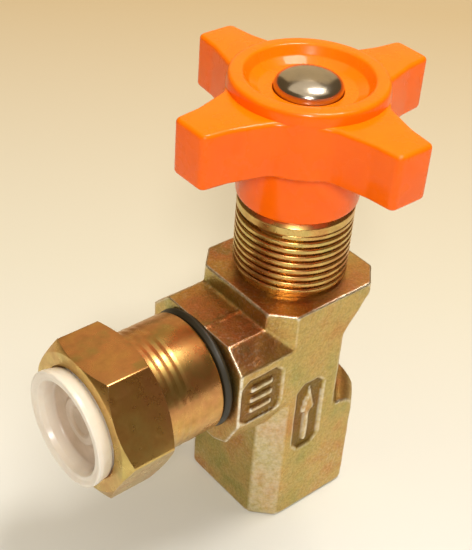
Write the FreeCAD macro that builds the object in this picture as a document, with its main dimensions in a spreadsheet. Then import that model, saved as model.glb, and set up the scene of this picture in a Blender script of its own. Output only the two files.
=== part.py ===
"""Angle needle valve with a four-arm handle and a swivel nut outlet.

The document holds one spreadsheet of sizes and one solid for each separate piece.
Row frame, in millimetres:
    origin  centre of the face of the bottom port
    +Z      up the spindle, towards the handle
    -X      out of the side branch, towards the swivel nut
    -Y      the face that carries the flow arrow
"""
import FreeCAD
import Part
import Sketcher
import math
import os

os.makedirs("parts", exist_ok=True)

doc = FreeCAD.newDocument("needle_valve")

# ---------------------------------------------------------------------------
# Sizes, millimetres and degrees
# ---------------------------------------------------------------------------
SIZES = {
    # forged body
    "body_half": 13.3,
    "body_corner": 4.2,
    "body_height": 53.3,
    "foot_radius": 15.3,
    "foot_rise": 3.2,
    "branch_height": 38.8,
    "branch_face": 22.0,
    "branch_top": 49.6,
    "branch_top_half": 9.0,
    "branch_top_drop": 4.2,
    "branch_bottom": 25.0,
    "branch_bottom_half": 6.7,
    "branch_haunch_half": 10.2,
    "branch_haunch_rise": 1.6,
    "branch_side_rise": 7.8,
    # waist on the two corners away from the branch, measured along the diagonal
    "waist_depth": 11.8,
    "waist_low": 25.0,
    "waist_high": 43.2,
    "waist_flange": 50.4,
    "waist_flange_depth": 15.6,
    "shoulder_low": 20.0,
    "shoulder_depth": 16.2,
    "shoulder_radius": 4.3,
    # cast-in marks
    "mark_depth": 0.7,
    "mark_corner": 1.6,
    "badge_centre": 16.5,
    "badge_half_width": 4.9,
    "badge_low": 32.6,
    "badge_high": 43.4,
    "badge_bar_half": 2.7,
    "badge_bar_gap": 2.6,
    "badge_bar_thick": 1.2,
    "arrow_centre": 3.5,
    "arrow_half_width": 3.4,
    "arrow_low": 17.7,
    "arrow_high": 34.8,
    "arrow_tip_gap": 1.4,
    "arrow_shaft_half": 0.55,
    "arrow_head_half": 1.75,
    "arrow_head_length": 6.2,
    # inner bores of the body
    "port_radius": 8.33,
    "port_depth": 14.0,
    "drill_point": 3.0,
    "passage_radius": 4.0,
    "seat_low": 24.0,
    "seat_radius": 6.0,
    "chamber_low": 29.0,
    "chamber_radius": 8.0,
    "bonnet_bore_low": 40.5,
    "bonnet_bore_radius": 9.0,
    "branch_bore_radius": 4.0,
    "nipple_bore_radius": 9.0,
    "nipple_bore_low": 11.5,
    # common clearances
    "slip": 0.05,
    "play": 0.4,
    # seat insert
    "seat_top": 29.4,
    "orifice_radius": 2.6,
    "orifice_top": 26.2,
    "seat_mouth": 4.45,
    # bonnet
    "bonnet_low": 41.0,
    "bonnet_neck_radius": 10.1,
    "bonnet_relief_top": 55.2,
    "bonnet_radius": 11.0,
    "bonnet_top": 69.9,
    "bonnet_chamfer": 1.0,
    "thread_pitch": 1.5,
    "thread_depth": 0.92,
    "thread_first": 55.7,
    "groove_low": 49.6,
    "groove_high": 51.9,
    "groove_radius": 7.3,
    "spindle_hole": 5.05,
    "packing_floor": 56.0,
    "packing_radius": 7.5,
    # packing stack
    "washer_thick": 1.0,
    "packing_height": 2.4,
    "gland_low": 62.9,
    "gland_high": 68.3,
    "gland_slot_half": 0.9,
    "gland_slot_depth": 2.0,
    "wiper_high": 69.6,
    # spindle
    "spindle_radius": 5.0,
    "spindle_head_radius": 7.0,
    "spindle_low": 31.0,
    "spindle_head_high": 35.6,
    "spindle_round_high": 71.2,
    "spindle_square_half": 3.5,
    "spindle_square_high": 84.6,
    "spindle_chamfer": 0.8,
    "needle_pocket_radius": 4.75,
    "needle_pocket_high": 34.6,
    "ring_groove_low": 31.35,
    "ring_groove_high": 32.15,
    "ring_groove_radius": 5.35,
    "screw_hole_radius": 2.5,
    "screw_hole_low": 72.5,
    # needle
    "needle_flange_radius": 4.7,
    "needle_flange_low": 32.25,
    "needle_flange_high": 34.5,
    "needle_neck_radius": 3.2,
    "needle_cone_high": 27.36,
    "needle_cone_low": 24.4,
    "needle_point_radius": 0.9,
    # retaining ring of the needle
    "ring_inner": 3.65,
    "ring_outer": 5.3,
    "ring_low": 31.4,
    "ring_high": 32.1,
    # handle
    "arm_reach": 26.0,
    "arm_end_half": 3.94,
    "arm_low": 81.3,
    "arm_high": 91.8,
    "arm_mid_reach": 20.6,
    "arm_mid_half": 4.5,
    "arm_root_reach": 16.6,
    "arm_root_half": 5.7,
    "arm_web_reach": 13.0,
    "arm_web_half": 8.6,
    "hub_low_radius": 14.7,
    "hub_high_radius": 14.0,
    "rim_high": 94.0,
    "rim_chamfer": 0.7,
    "rim_inner_radius": 11.6,
    "bowl_radius": 9.2,
    "bowl_low": 91.2,
    "collar_radius": 11.4,
    "collar_low": 70.2,
    "collar_chamfer": 0.9,
    "insert_radius": 8.0,
    "insert_low": 70.6,
    "insert_high": 85.6,
    "insert_flange_radius": 9.4,
    "insert_flange_low": 74.0,
    "insert_flange_high": 77.0,
    "cap_hole_radius": 6.2,
    # screw, washer and cap of the handle
    "screw_radius": 2.45,
    "screw_low": 75.5,
    "screw_head_radius": 4.2,
    "screw_head_height": 3.0,
    "screw_socket_radius": 1.9,
    "screw_socket_depth": 1.8,
    "screw_washer_radius": 5.6,
    "screw_washer_thick": 1.0,
    "cap_radius": 6.1,
    "cap_wall": 0.8,
    "cap_low": 88.2,
    "cap_shoulder": 92.2,
    "cap_height": 2.1,
    # branch pieces, measured outwards from the spindle's axis
    "ring_face": 24.1,
    "dust_ring_inner": 10.3,
    "dust_ring_outer": 12.0,
    "nipple_low": 12.0,
    "nipple_neck": 8.95,
    "nipple_bore": 5.0,
    "nipple_head_low": 30.6,
    "nipple_head_radius": 9.9,
    "nipple_head_taper": 0.95,
    "nipple_head_high": 33.6,
    "cone_radius": 9.3,
    "cone_groove_low": 35.6,
    "cone_groove_high": 37.6,
    "cone_groove_depth": 1.1,
    "cone_slope": 0.21256,
    "nipple_high": 41.6,
    "nipple_mouth": 6.2,
    "seal_low": 11.5,
    "seal_inner": 4.6,
    "nut_low": 24.3,
    "nut_collar_radius": 9.0,
    "nut_seat_low": 29.8,
    "nut_chamber_radius": 10.3,
    "nut_thread_low": 37.5,
    "nut_skirt_radius": 11.85,
    "nut_skirt_chamfer": 0.8,
    "nut_groove_first": 30.4,
    "nut_groove_pitch": 2.1,
    "nut_groove_width": 0.7,
    "nut_groove_depth": 0.35,
    "nut_hex_low": 37.1,
    "nut_high": 47.9,
    "nut_hex_across": 27.0,
    "nut_hex_turn": 1.7,
    "nut_front_radius": 13.5,
    "nut_back_radius": 13.5,
    "nut_end_slope": 0.577,
    "nut_thread_radius": 10.19,
    "nut_mouth_radius": 10.95,
    "nut_mouth_chamfer": 0.9,
    # protective plug
    "plug_low": 43.2,
    "plug_floor_low": 46.4,
    "plug_floor": 0.95,
    "plug_tube_radius": 10.1,
    "plug_hole_radius": 8.8,
    "plug_flange_low": 47.95,
    "plug_flange_high": 51.0,
    "plug_flange_radius": 11.15,
    "plug_lip": 0.5,
}

sheet = doc.addObject("Spreadsheet::Sheet", "dims")
for row, (alias, value) in enumerate(SIZES.items(), start=1):
    sheet.set(f"A{row}", alias)
    sheet.set(f"B{row}", str(value))
    sheet.setAlias(f"B{row}", alias)
doc.recompute()


# ---------------------------------------------------------------------------
# Helpers
# ---------------------------------------------------------------------------
def number(expression):
    """Return the value of a size expression such as 'dims.slip + 2'."""
    names = {alias: value for alias, value in SIZES.items()}
    total = 0.0
    sign = 1.0
    for word in expression.split():
        if word in ("+", "-"):
            sign = 1.0 if word == "+" else -1.0
            continue
        factors = word.split("*")
        product = 1.0
        for factor in factors:
            key = factor.replace("dims.", "")
            product *= names[key] if key in names else float(key)
        total += sign * product
    return total


def origin_plane(body, role):
    """Return one of a body's own origin planes by its role."""
    for feature in body.Origin.OriginFeatures:
        if feature.Role == role:
            return feature
    raise ValueError(role)


def new_sketch(body, name, role, offset=None):
    """Add a sketch on one of the body's origin planes, with an optional offset."""
    sketch = body.newObject("Sketcher::SketchObject", name)
    sketch.AttachmentSupport = [(origin_plane(body, role), "")]
    sketch.MapMode = "FlatFace"
    if offset:
        sketch.setExpression("AttachmentOffset.Base.z", offset)
    return sketch


def fix_coordinate(sketch, index, point, axis, expression):
    """Hold one coordinate of a sketch point at a size expression."""
    across = axis == "X"
    if expression == "0":
        sketch.addConstraint(
            Sketcher.Constraint("PointOnObject", index, point, -2 if across else -1))
        return
    kind = "DistanceX" if across else "DistanceY"
    place = sketch.addConstraint(
        Sketcher.Constraint(kind, -1, 1, index, point, number(expression)))
    sketch.setExpression(f"Constraints[{place}]", expression)


def polygon(sketch, corners):
    """Draw a closed polygon whose corners are pairs of size expressions."""
    values = [FreeCAD.Vector(number(a), number(b), 0) for a, b in corners]
    first = sketch.GeometryCount
    count = len(corners)
    for step in range(count):
        sketch.addGeometry(Part.LineSegment(values[step], values[(step + 1) % count]), False)
    for step in range(count):
        following = first + (step + 1) % count
        sketch.addConstraint(Sketcher.Constraint("Coincident", first + step, 2, following, 1))
    for step, (across, up) in enumerate(corners):
        fix_coordinate(sketch, first + step, 1, "X", across)
        fix_coordinate(sketch, first + step, 1, "Y", up)


def turned(name, profile, axis="Z"):
    """Revolve a closed profile of (radius, distance) expressions about Z or the branch axis."""
    body = doc.addObject("PartDesign::Body", name)
    sketch = new_sketch(body, f"{name}_profile", "XZ_Plane")
    if axis == "Z":
        polygon(sketch, profile)
    else:
        polygon(sketch, [(distance, radius) for radius, distance in profile])
        turn = FreeCAD.Rotation(FreeCAD.Vector(0, 0, 1), 180)
        body.Placement = FreeCAD.Placement(FreeCAD.Vector(0, 0, SIZES["branch_height"]), turn)
        body.setExpression("Placement.Base.z", "dims.branch_height")
    revolution = body.newObject("PartDesign::Revolution", f"{name}_turned")
    revolution.Profile = sketch
    revolution.ReferenceAxis = (sketch, ["V_Axis" if axis == "Z" else "H_Axis"])
    revolution.Angle = 360
    doc.recompute()
    return body


def cut(name, base, tools):
    """Cut one or more tools from a base shape."""
    tool = tools[0]
    if len(tools) > 1:
        tool = doc.addObject("Part::MultiFuse", f"{name}_tools")
        tool.Shapes = tools
    result = doc.addObject("Part::Cut", name)
    result.Base = base
    result.Tool = tool
    doc.recompute()
    return result


def box(name, size, position):
    """Add a box with its three sizes and its position as size expressions."""
    block = doc.addObject("Part::Box", name)
    for attribute, expression in zip(("Length", "Width", "Height"), size):
        block.setExpression(attribute, expression)
    for axis, expression in zip("xyz", position):
        block.setExpression(f"Placement.Base.{axis}", expression)
    return block


# ---------------------------------------------------------------------------
# Forged body
# ---------------------------------------------------------------------------
def body_outline():
    """Return the corners of the square column with its four cut corners."""
    side = "dims.body_half"
    near = "dims.body_half - dims.body_corner"
    minus_side = "0 - dims.body_half"
    minus_near = "dims.body_corner - dims.body_half"
    return [
        (side, minus_near),
        (side, near),
        (near, side),
        (minus_near, side),
        (minus_side, near),
        (minus_side, minus_near),
        (minus_near, minus_side),
        (near, minus_side),
    ]


def branch_outline():
    """Return the corners of the side branch's cross-section."""
    shoulder = "dims.branch_top - dims.branch_top_drop"
    haunch = "dims.branch_bottom + dims.branch_haunch_rise"
    side = "dims.branch_bottom + dims.branch_side_rise"
    return [
        ("dims.branch_top_half", "dims.branch_top"),
        ("0 - dims.branch_top_half", "dims.branch_top"),
        ("0 - dims.body_half", shoulder),
        ("0 - dims.body_half", side),
        ("0 - dims.branch_haunch_half", haunch),
        ("0 - dims.branch_bottom_half", "dims.branch_bottom"),
        ("dims.branch_bottom_half", "dims.branch_bottom"),
        ("dims.branch_haunch_half", haunch),
        ("dims.body_half", side),
        ("dims.body_half", shoulder),
    ]


def mark_outline(centre, half_width, low, high):
    """Return a rectangle with cut corners for a cast-in mark on the front face."""
    left = f"0 - {centre} - {half_width}"
    right = f"{half_width} - {centre}"
    corner = "dims.mark_corner"
    return [
        (f"{left} + {corner}", low),
        (f"{right} - {corner}", low),
        (right, f"{low} + {corner}"),
        (right, f"{high} - {corner}"),
        (f"{right} - {corner}", high),
        (f"{left} + {corner}", high),
        (left, f"{high} - {corner}"),
        (left, f"{low} + {corner}"),
    ]


forging = doc.addObject("PartDesign::Body", "forging")
column_sketch = new_sketch(forging, "column_outline", "XY_Plane")
polygon(column_sketch, body_outline())
column = forging.newObject("PartDesign::Pad", "column")
column.Profile = column_sketch
column.setExpression("Length", "dims.body_height")
doc.recompute()

branch_sketch = new_sketch(forging, "branch_outline", "YZ_Plane")
polygon(branch_sketch, branch_outline())
branch = forging.newObject("PartDesign::Pad", "branch")
branch.Profile = branch_sketch
branch.Reversed = True
branch.setExpression("Length", "dims.branch_face")
doc.recompute()

# badge recess with three plain raised bars
badge_sketch = new_sketch(forging, "badge_outline", "XZ_Plane", "dims.body_half")
polygon(badge_sketch, mark_outline(
    "dims.badge_centre", "dims.badge_half_width", "dims.badge_low", "dims.badge_high"))
for level in range(3):
    bar_low = f"dims.badge_low + 2.3 + {level}*dims.badge_bar_gap"
    bar_high = f"{bar_low} + dims.badge_bar_thick"
    bar_left = "0 - dims.badge_centre - dims.badge_bar_half"
    bar_right = "dims.badge_bar_half - dims.badge_centre"
    polygon(badge_sketch, [
        (bar_left, bar_low),
        (bar_right, bar_low),
        (bar_right, bar_high),
        (bar_left, bar_high),
    ])
badge = forging.newObject("PartDesign::Pocket", "badge_recess")
badge.Profile = badge_sketch
badge.setExpression("Length", "dims.mark_depth")
doc.recompute()

# flow arrow, raised in its own recess and pointing to the handle
arrow_sketch = new_sketch(forging, "arrow_outline", "XZ_Plane", "dims.body_half")
polygon(arrow_sketch, mark_outline(
    "dims.arrow_centre", "dims.arrow_half_width", "dims.arrow_low", "dims.arrow_high"))
tail = "dims.arrow_low + dims.arrow_tip_gap"
tip = "dims.arrow_high - dims.arrow_tip_gap"
barb = f"{tip} - dims.arrow_head_length"
centre_line = "0 - dims.arrow_centre"
polygon(arrow_sketch, [
    (f"{centre_line} - dims.arrow_shaft_half", tail),
    (f"{centre_line} + dims.arrow_shaft_half", tail),
    (f"{centre_line} + dims.arrow_shaft_half", barb),
    (f"{centre_line} + dims.arrow_head_half", barb),
    (centre_line, tip),
    (f"{centre_line} - dims.arrow_head_half", barb),
    (f"{centre_line} - dims.arrow_shaft_half", barb),
])
arrow = forging.newObject("PartDesign::Pocket", "arrow_recess")
arrow.Profile = arrow_sketch
arrow.setExpression("Length", "dims.mark_depth")
doc.recompute()


def waist_cutter(name, angle):
    """Make the tool that narrows one corner of the column below the top flange."""
    cutter = doc.addObject("PartDesign::Body", name)
    sketch = new_sketch(cutter, f"{name}_profile", "XZ_Plane")
    reach = "dims.shoulder_depth + 6"
    corners = [
        ("dims.waist_depth", "dims.waist_low"),
        ("dims.waist_depth", "dims.waist_high"),
        ("dims.waist_flange_depth", "dims.waist_flange"),
        (reach, "dims.waist_flange"),
        (reach, "dims.shoulder_low"),
        ("dims.shoulder_depth", "dims.shoulder_low"),
    ]
    values = [FreeCAD.Vector(number(a), number(b), 0) for a, b in corners]
    for step in range(5):
        sketch.addGeometry(Part.LineSegment(values[step], values[step + 1]), False)
    start = values[5]
    end = values[0]
    radius = SIZES["shoulder_radius"]
    chord = end - start
    middle = (start + end) * 0.5
    inward = FreeCAD.Vector(-chord.y, chord.x, 0).normalize()
    sagitta = radius - math.sqrt(radius ** 2 - (chord.Length / 2) ** 2)
    sketch.addGeometry(Part.Arc(start, middle - inward * sagitta, end), False)
    for step in range(5):
        sketch.addConstraint(Sketcher.Constraint("Coincident", step, 2, step + 1, 1 if step < 4 else 1))
    sketch.addConstraint(Sketcher.Constraint("Coincident", 5, 2, 0, 1))
    for step in range(5):
        fix_coordinate(sketch, step, 1, "X", corners[step][0])
        fix_coordinate(sketch, step, 1, "Y", corners[step][1])
    fix_coordinate(sketch, 4, 2, "X", corners[5][0])
    fix_coordinate(sketch, 4, 2, "Y", corners[5][1])
    place = sketch.addConstraint(Sketcher.Constraint("Radius", 5, radius))
    sketch.setExpression(f"Constraints[{place}]", "dims.shoulder_radius")
    pad = cutter.newObject("PartDesign::Pad", f"{name}_pad")
    pad.Profile = sketch
    pad.Midplane = True
    pad.Length = 40
    cutter.Placement = FreeCAD.Placement(
        FreeCAD.Vector(0, 0, 0), FreeCAD.Rotation(FreeCAD.Vector(0, 0, 1), angle))
    doc.recompute()
    return cutter


waist_front = waist_cutter("waist_front", -45)
waist_back = waist_cutter("waist_back", 45)

foot_tool = turned("foot_tool", [
    ("dims.foot_radius", "0"),
    ("dims.foot_radius + 8", "0"),
    ("dims.foot_radius + 8", "dims.foot_rise + 0.5"),
    ("dims.foot_radius + 5.5", "dims.foot_rise"),
])

spindle_bore = turned("spindle_bore", [
    ("0", "0"),
    ("dims.port_radius", "0"),
    ("dims.port_radius", "dims.port_depth"),
    ("dims.passage_radius", "dims.port_depth + dims.drill_point"),
    ("dims.passage_radius", "dims.seat_low"),
    ("dims.seat_radius + dims.slip", "dims.seat_low"),
    ("dims.seat_radius + dims.slip", "dims.chamber_low"),
    ("dims.chamber_radius", "dims.chamber_low"),
    ("dims.chamber_radius", "dims.bonnet_bore_low"),
    ("dims.bonnet_bore_radius", "dims.bonnet_bore_low"),
    ("dims.bonnet_bore_radius", "dims.body_height"),
    ("0", "dims.body_height"),
])

branch_bore = turned("branch_bore", [
    ("0", "0"),
    ("dims.branch_bore_radius", "0"),
    ("dims.branch_bore_radius", "dims.nipple_bore_low"),
    ("dims.nipple_bore_radius", "dims.nipple_bore_low"),
    ("dims.nipple_bore_radius", "dims.branch_face"),
    ("0", "dims.branch_face"),
], axis="X")

body = cut("body", forging, [waist_front, waist_back, foot_tool, spindle_bore, branch_bore])

# ---------------------------------------------------------------------------
# Seat, bonnet and packing
# ---------------------------------------------------------------------------
seat_insert = turned("seat_insert", [
    ("dims.orifice_radius", "dims.seat_low"),
    ("dims.seat_radius", "dims.seat_low"),
    ("dims.seat_radius", "dims.seat_top"),
    ("dims.seat_mouth", "dims.seat_top"),
    ("dims.orifice_radius", "dims.orifice_top"),
])

bonnet_profile = [
    ("dims.spindle_hole", "dims.bonnet_low"),
    ("dims.bonnet_bore_radius - dims.slip", "dims.bonnet_low"),
    ("dims.bonnet_bore_radius - dims.slip", "dims.groove_low"),
    ("dims.groove_radius", "dims.groove_low"),
    ("dims.groove_radius", "dims.groove_high"),
    ("dims.bonnet_bore_radius - dims.slip", "dims.groove_high"),
    ("dims.bonnet_bore_radius - dims.slip", "dims.body_height"),
    ("dims.bonnet_neck_radius", "dims.body_height"),
    ("dims.bonnet_neck_radius", "dims.bonnet_relief_top"),
]
THREAD_TURNS = 8
for turn in range(THREAD_TURNS):
    crest = f"dims.thread_first + {turn}*dims.thread_pitch"
    bonnet_profile.append(("dims.bonnet_radius", f"{crest} - 0.1"))
    bonnet_profile.append(("dims.bonnet_radius", f"{crest} + 0.1"))
    root = f"{crest} + 0.5*dims.thread_pitch"
    bonnet_profile.append(("dims.bonnet_radius - dims.thread_depth", f"{root} - 0.1"))
    bonnet_profile.append(("dims.bonnet_radius - dims.thread_depth", f"{root} + 0.1"))
last_root = f"dims.thread_first + {THREAD_TURNS}*dims.thread_pitch"
bonnet_profile += [
    ("dims.bonnet_radius", f"{last_root} - 0.05"),
    ("dims.bonnet_radius", "dims.bonnet_top - dims.bonnet_chamfer"),
    ("dims.bonnet_radius - dims.bonnet_chamfer", "dims.bonnet_top"),
    ("dims.packing_radius", "dims.bonnet_top"),
    ("dims.packing_radius", "dims.packing_floor"),
    ("dims.spindle_hole", "dims.packing_floor"),
]
bonnet = turned("bonnet", bonnet_profile)


def seal_ring(name, inner, outer, low, high, axis="Z"):
    """Make a seal with an octagonal section that stands in for a round one."""
    radial = "0.3*dims.washer_thick"
    return turned(name, [
        (f"{inner} + {radial}", low),
        (f"{outer} - {radial}", low),
        (outer, f"{low} + {radial}"),
        (outer, f"{high} - {radial}"),
        (f"{outer} - {radial}", high),
        (f"{inner} + {radial}", high),
        (inner, f"{high} - {radial}"),
        (inner, f"{low} + {radial}"),
    ], axis)


def washer(name, inner, outer, low, high, axis="Z"):
    """Make a plain flat ring."""
    return turned(name, [(inner, low), (outer, low), (outer, high), (inner, high)], axis)


bonnet_o_ring = seal_ring(
    "bonnet_o_ring", "dims.groove_radius", "dims.bonnet_bore_radius - dims.slip",
    "dims.groove_low + 0.15", "dims.groove_high - 0.15")

lower_washer = washer(
    "packing_washer", "dims.spindle_radius + dims.play", "dims.packing_radius - dims.slip",
    "dims.packing_floor", "dims.packing_floor + dims.washer_thick")

packing_start = "dims.packing_floor + dims.washer_thick"
lower_packing = seal_ring(
    "lower_packing_ring", "dims.spindle_hole", "dims.packing_radius - dims.slip",
    packing_start, f"{packing_start} + dims.packing_height")
upper_packing = seal_ring(
    "upper_packing_ring", "dims.spindle_hole", "dims.packing_radius - dims.slip",
    f"{packing_start} + dims.packing_height", f"{packing_start} + 2*dims.packing_height")

follower = washer(
    "packing_follower", "dims.spindle_radius + dims.play", "dims.packing_radius - dims.slip",
    f"{packing_start} + 2*dims.packing_height", "dims.gland_low")

gland_blank = washer(
    "gland_blank", "dims.spindle_hole", "dims.packing_radius - dims.slip",
    "dims.gland_low", "dims.gland_high")
gland_slot = box(
    "gland_slot",
    ("20 mm", "2*dims.gland_slot_half", "dims.gland_slot_depth + 1"),
    ("-10 mm", "0 - dims.gland_slot_half", "dims.gland_high - dims.gland_slot_depth"))
gland_nut = cut("gland_nut", gland_blank, [gland_slot])

wiper = washer(
    "wiper_ring", "dims.spindle_hole", "dims.packing_radius - dims.slip",
    "dims.gland_high", "dims.wiper_high")

# ---------------------------------------------------------------------------
# Needle and spindle
# ---------------------------------------------------------------------------
needle = turned("needle", [
    ("0", "dims.needle_cone_low"),
    ("dims.needle_point_radius", "dims.needle_cone_low"),
    ("dims.needle_neck_radius", "dims.needle_cone_high"),
    ("dims.needle_neck_radius", "dims.needle_flange_low"),
    ("dims.needle_flange_radius", "dims.needle_flange_low"),
    ("dims.needle_flange_radius", "dims.needle_flange_high"),
    ("0", "dims.needle_flange_high"),
])

spindle_blank = turned("spindle_blank", [
    ("dims.needle_pocket_radius", "dims.spindle_low"),
    ("dims.spindle_head_radius - dims.spindle_chamfer", "dims.spindle_low"),
    ("dims.spindle_head_radius", "dims.spindle_low + dims.spindle_chamfer"),
    ("dims.spindle_head_radius", "dims.spindle_head_high - dims.spindle_chamfer"),
    ("dims.spindle_head_radius - dims.spindle_chamfer", "dims.spindle_head_high"),
    ("dims.spindle_radius", "dims.spindle_head_high"),
    ("dims.spindle_radius", "dims.spindle_square_high"),
    ("dims.screw_hole_radius", "dims.spindle_square_high"),
    ("dims.screw_hole_radius", "dims.screw_hole_low"),
    ("0", "dims.screw_hole_low"),
    ("0", "dims.needle_pocket_high"),
    ("dims.needle_pocket_radius", "dims.needle_pocket_high"),
    ("dims.needle_pocket_radius", "dims.ring_groove_high"),
    ("dims.ring_groove_radius", "dims.ring_groove_high"),
    ("dims.ring_groove_radius", "dims.ring_groove_low"),
    ("dims.needle_pocket_radius", "dims.ring_groove_low"),
])
flat_tools = []
for index, turn_angle in enumerate((0, 90, 180, 270)):
    flat = doc.addObject("Part::Box", f"square_flat_{index + 1}")
    flat.Length = 4
    flat.Width = 20
    flat.setExpression("Height", "dims.spindle_square_high - dims.spindle_round_high + 1")
    flat_turn = FreeCAD.Rotation(FreeCAD.Vector(0, 0, 1), turn_angle)
    corner_point = flat_turn.multVec(FreeCAD.Vector(SIZES["spindle_square_half"], -10, 0))
    flat.Placement = FreeCAD.Placement(corner_point, flat_turn)
    flat.setExpression("Placement.Base.z", "dims.spindle_round_high")
    flat.setExpression(
        "Placement.Base.x",
        f"{round(math.cos(math.radians(turn_angle)))} * dims.spindle_square_half"
        f" + {round(10 * math.sin(math.radians(turn_angle)))}")
    flat.setExpression(
        "Placement.Base.y",
        f"{round(math.sin(math.radians(turn_angle)))} * dims.spindle_square_half"
        f" - {round(10 * math.cos(math.radians(turn_angle)))}")
    flat_tools.append(flat)
spindle = cut("spindle", spindle_blank, flat_tools)

retaining_ring_blank = washer(
    "retaining_ring_blank", "dims.ring_inner", "dims.ring_outer", "dims.ring_low", "dims.ring_high")
ring_gap = box("ring_gap", ("10 mm", "2 mm", "2 mm"), ("0 mm", "-1 mm", "dims.ring_low - 0.5"))
retaining_ring = cut("needle_retaining_ring", retaining_ring_blank, [ring_gap])

# ---------------------------------------------------------------------------
# Handle, its insert, screw, washer and cap
# ---------------------------------------------------------------------------
handle_blank = doc.addObject("PartDesign::Body", "handle_blank")
hub_sketch = new_sketch(handle_blank, "hub_profile", "XZ_Plane")
polygon(hub_sketch, [
    ("dims.insert_radius - 1", "dims.collar_low"),
    ("dims.collar_radius - dims.collar_chamfer", "dims.collar_low"),
    ("dims.collar_radius", "dims.collar_low + dims.collar_chamfer"),
    ("dims.collar_radius", "dims.arm_low"),
    ("dims.hub_low_radius", "dims.arm_low"),
    ("dims.hub_high_radius", "dims.rim_high - dims.rim_chamfer"),
    ("dims.hub_high_radius - dims.rim_chamfer", "dims.rim_high"),
    ("dims.rim_inner_radius + 0.3", "dims.rim_high"),
    ("dims.rim_inner_radius", "dims.rim_high - 0.3"),
    ("dims.bowl_radius", "dims.bowl_low + 0.6"),
    ("dims.bowl_radius - 1.4", "dims.bowl_low"),
    ("dims.insert_radius - 1", "dims.bowl_low"),
])
hub = handle_blank.newObject("PartDesign::Revolution", "hub")
hub.Profile = hub_sketch
hub.ReferenceAxis = (hub_sketch, ["V_Axis"])
hub.Angle = 360
doc.recompute()

arm_sketch = new_sketch(handle_blank, "arm_outline", "XY_Plane", "dims.arm_low")
quarter = [
    ("dims.arm_reach", "dims.arm_end_half"),
    ("dims.arm_mid_reach", "dims.arm_mid_half"),
    ("dims.arm_root_reach", "dims.arm_root_half"),
    ("dims.arm_web_reach", "dims.arm_web_half"),
    ("dims.arm_web_half", "dims.arm_web_reach"),
    ("dims.arm_root_half", "dims.arm_root_reach"),
    ("dims.arm_mid_half", "dims.arm_mid_reach"),
    ("dims.arm_end_half", "dims.arm_reach"),
]
outline = []
for quarter_turn in range(4):
    for across, up in quarter:
        minus_across = f"0 - {across}"
        minus_up = f"0 - {up}"
        outline.append([
            (across, up),
            (minus_up, across),
            (minus_across, minus_up),
            (up, minus_across),
        ][quarter_turn])
polygon(arm_sketch, outline)
arms = handle_blank.newObject("PartDesign::Pad", "arms")
arms.Profile = arm_sketch
arms.setExpression("Length", "dims.arm_high - dims.arm_low")
doc.recompute()

handle_bore = turned("handle_bore", [
    ("0", "dims.collar_low"),
    ("dims.insert_radius - 1", "dims.collar_low"),
    ("dims.insert_radius", "dims.insert_low"),
    ("dims.insert_radius", "dims.insert_flange_low"),
    ("dims.insert_flange_radius", "dims.insert_flange_low"),
    ("dims.insert_flange_radius", "dims.insert_flange_high"),
    ("dims.insert_radius", "dims.insert_flange_high"),
    ("dims.insert_radius", "dims.insert_high"),
    ("dims.cap_hole_radius", "dims.insert_high"),
    ("dims.cap_hole_radius", "dims.rim_high + 2"),
    ("0", "dims.rim_high + 2"),
])
bowl_clear = turned("bowl_clear", [
    ("0", "dims.bowl_low"),
    ("dims.bowl_radius - 1.4", "dims.bowl_low"),
    ("dims.bowl_radius", "dims.bowl_low + 0.6"),
    ("dims.rim_inner_radius", "dims.rim_high - 0.3"),
    ("dims.rim_inner_radius", "dims.rim_high + 2"),
    ("0", "dims.rim_high + 2"),
])
handle = cut("handle", handle_blank, [handle_bore, bowl_clear])

insert_blank = turned("insert_blank", [
    ("0", "dims.insert_low"),
    ("dims.insert_radius", "dims.insert_low"),
    ("dims.insert_radius", "dims.insert_flange_low"),
    ("dims.insert_flange_radius", "dims.insert_flange_low"),
    ("dims.insert_flange_radius", "dims.insert_flange_high"),
    ("dims.insert_radius", "dims.insert_flange_high"),
    ("dims.insert_radius", "dims.insert_high"),
    ("0", "dims.insert_high"),
])
square_size = "2*dims.spindle_square_half + 2*dims.slip"
square_hole = box(
    "square_hole",
    (square_size, square_size, "dims.insert_high"),
    ("0 - dims.spindle_square_half - dims.slip", "0 - dims.spindle_square_half - dims.slip",
     "dims.spindle_round_high"))
round_hole = turned("round_hole", [
    ("0", "dims.insert_low - 1"),
    ("dims.spindle_radius + dims.slip", "dims.insert_low - 1"),
    ("dims.spindle_radius + dims.slip", "dims.spindle_round_high + dims.slip"),
    ("0", "dims.spindle_round_high + dims.slip"),
])
hub_insert = cut("handle_insert", insert_blank, [square_hole, round_hole])

screw_washer = washer(
    "handle_washer", "dims.screw_radius + 0.2", "dims.screw_washer_radius",
    "dims.insert_high", "dims.insert_high + dims.screw_washer_thick")
screw_head_low = "dims.insert_high + dims.screw_washer_thick"
screw_head_high = f"{screw_head_low} + dims.screw_head_height"
handle_screw = turned("handle_screw", [
    ("0", "dims.screw_low"),
    ("dims.screw_radius - 0.5", "dims.screw_low"),
    ("dims.screw_radius", "dims.screw_low + 0.5"),
    ("dims.screw_radius", screw_head_low),
    ("dims.screw_head_radius", screw_head_low),
    ("dims.screw_head_radius", f"{screw_head_high} - 0.5"),
    ("dims.screw_head_radius - 0.5", screw_head_high),
    ("dims.screw_socket_radius", screw_head_high),
    ("dims.screw_socket_radius", f"{screw_head_high} - dims.screw_socket_depth"),
    ("0", f"{screw_head_high} - dims.screw_socket_depth"),
])

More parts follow.
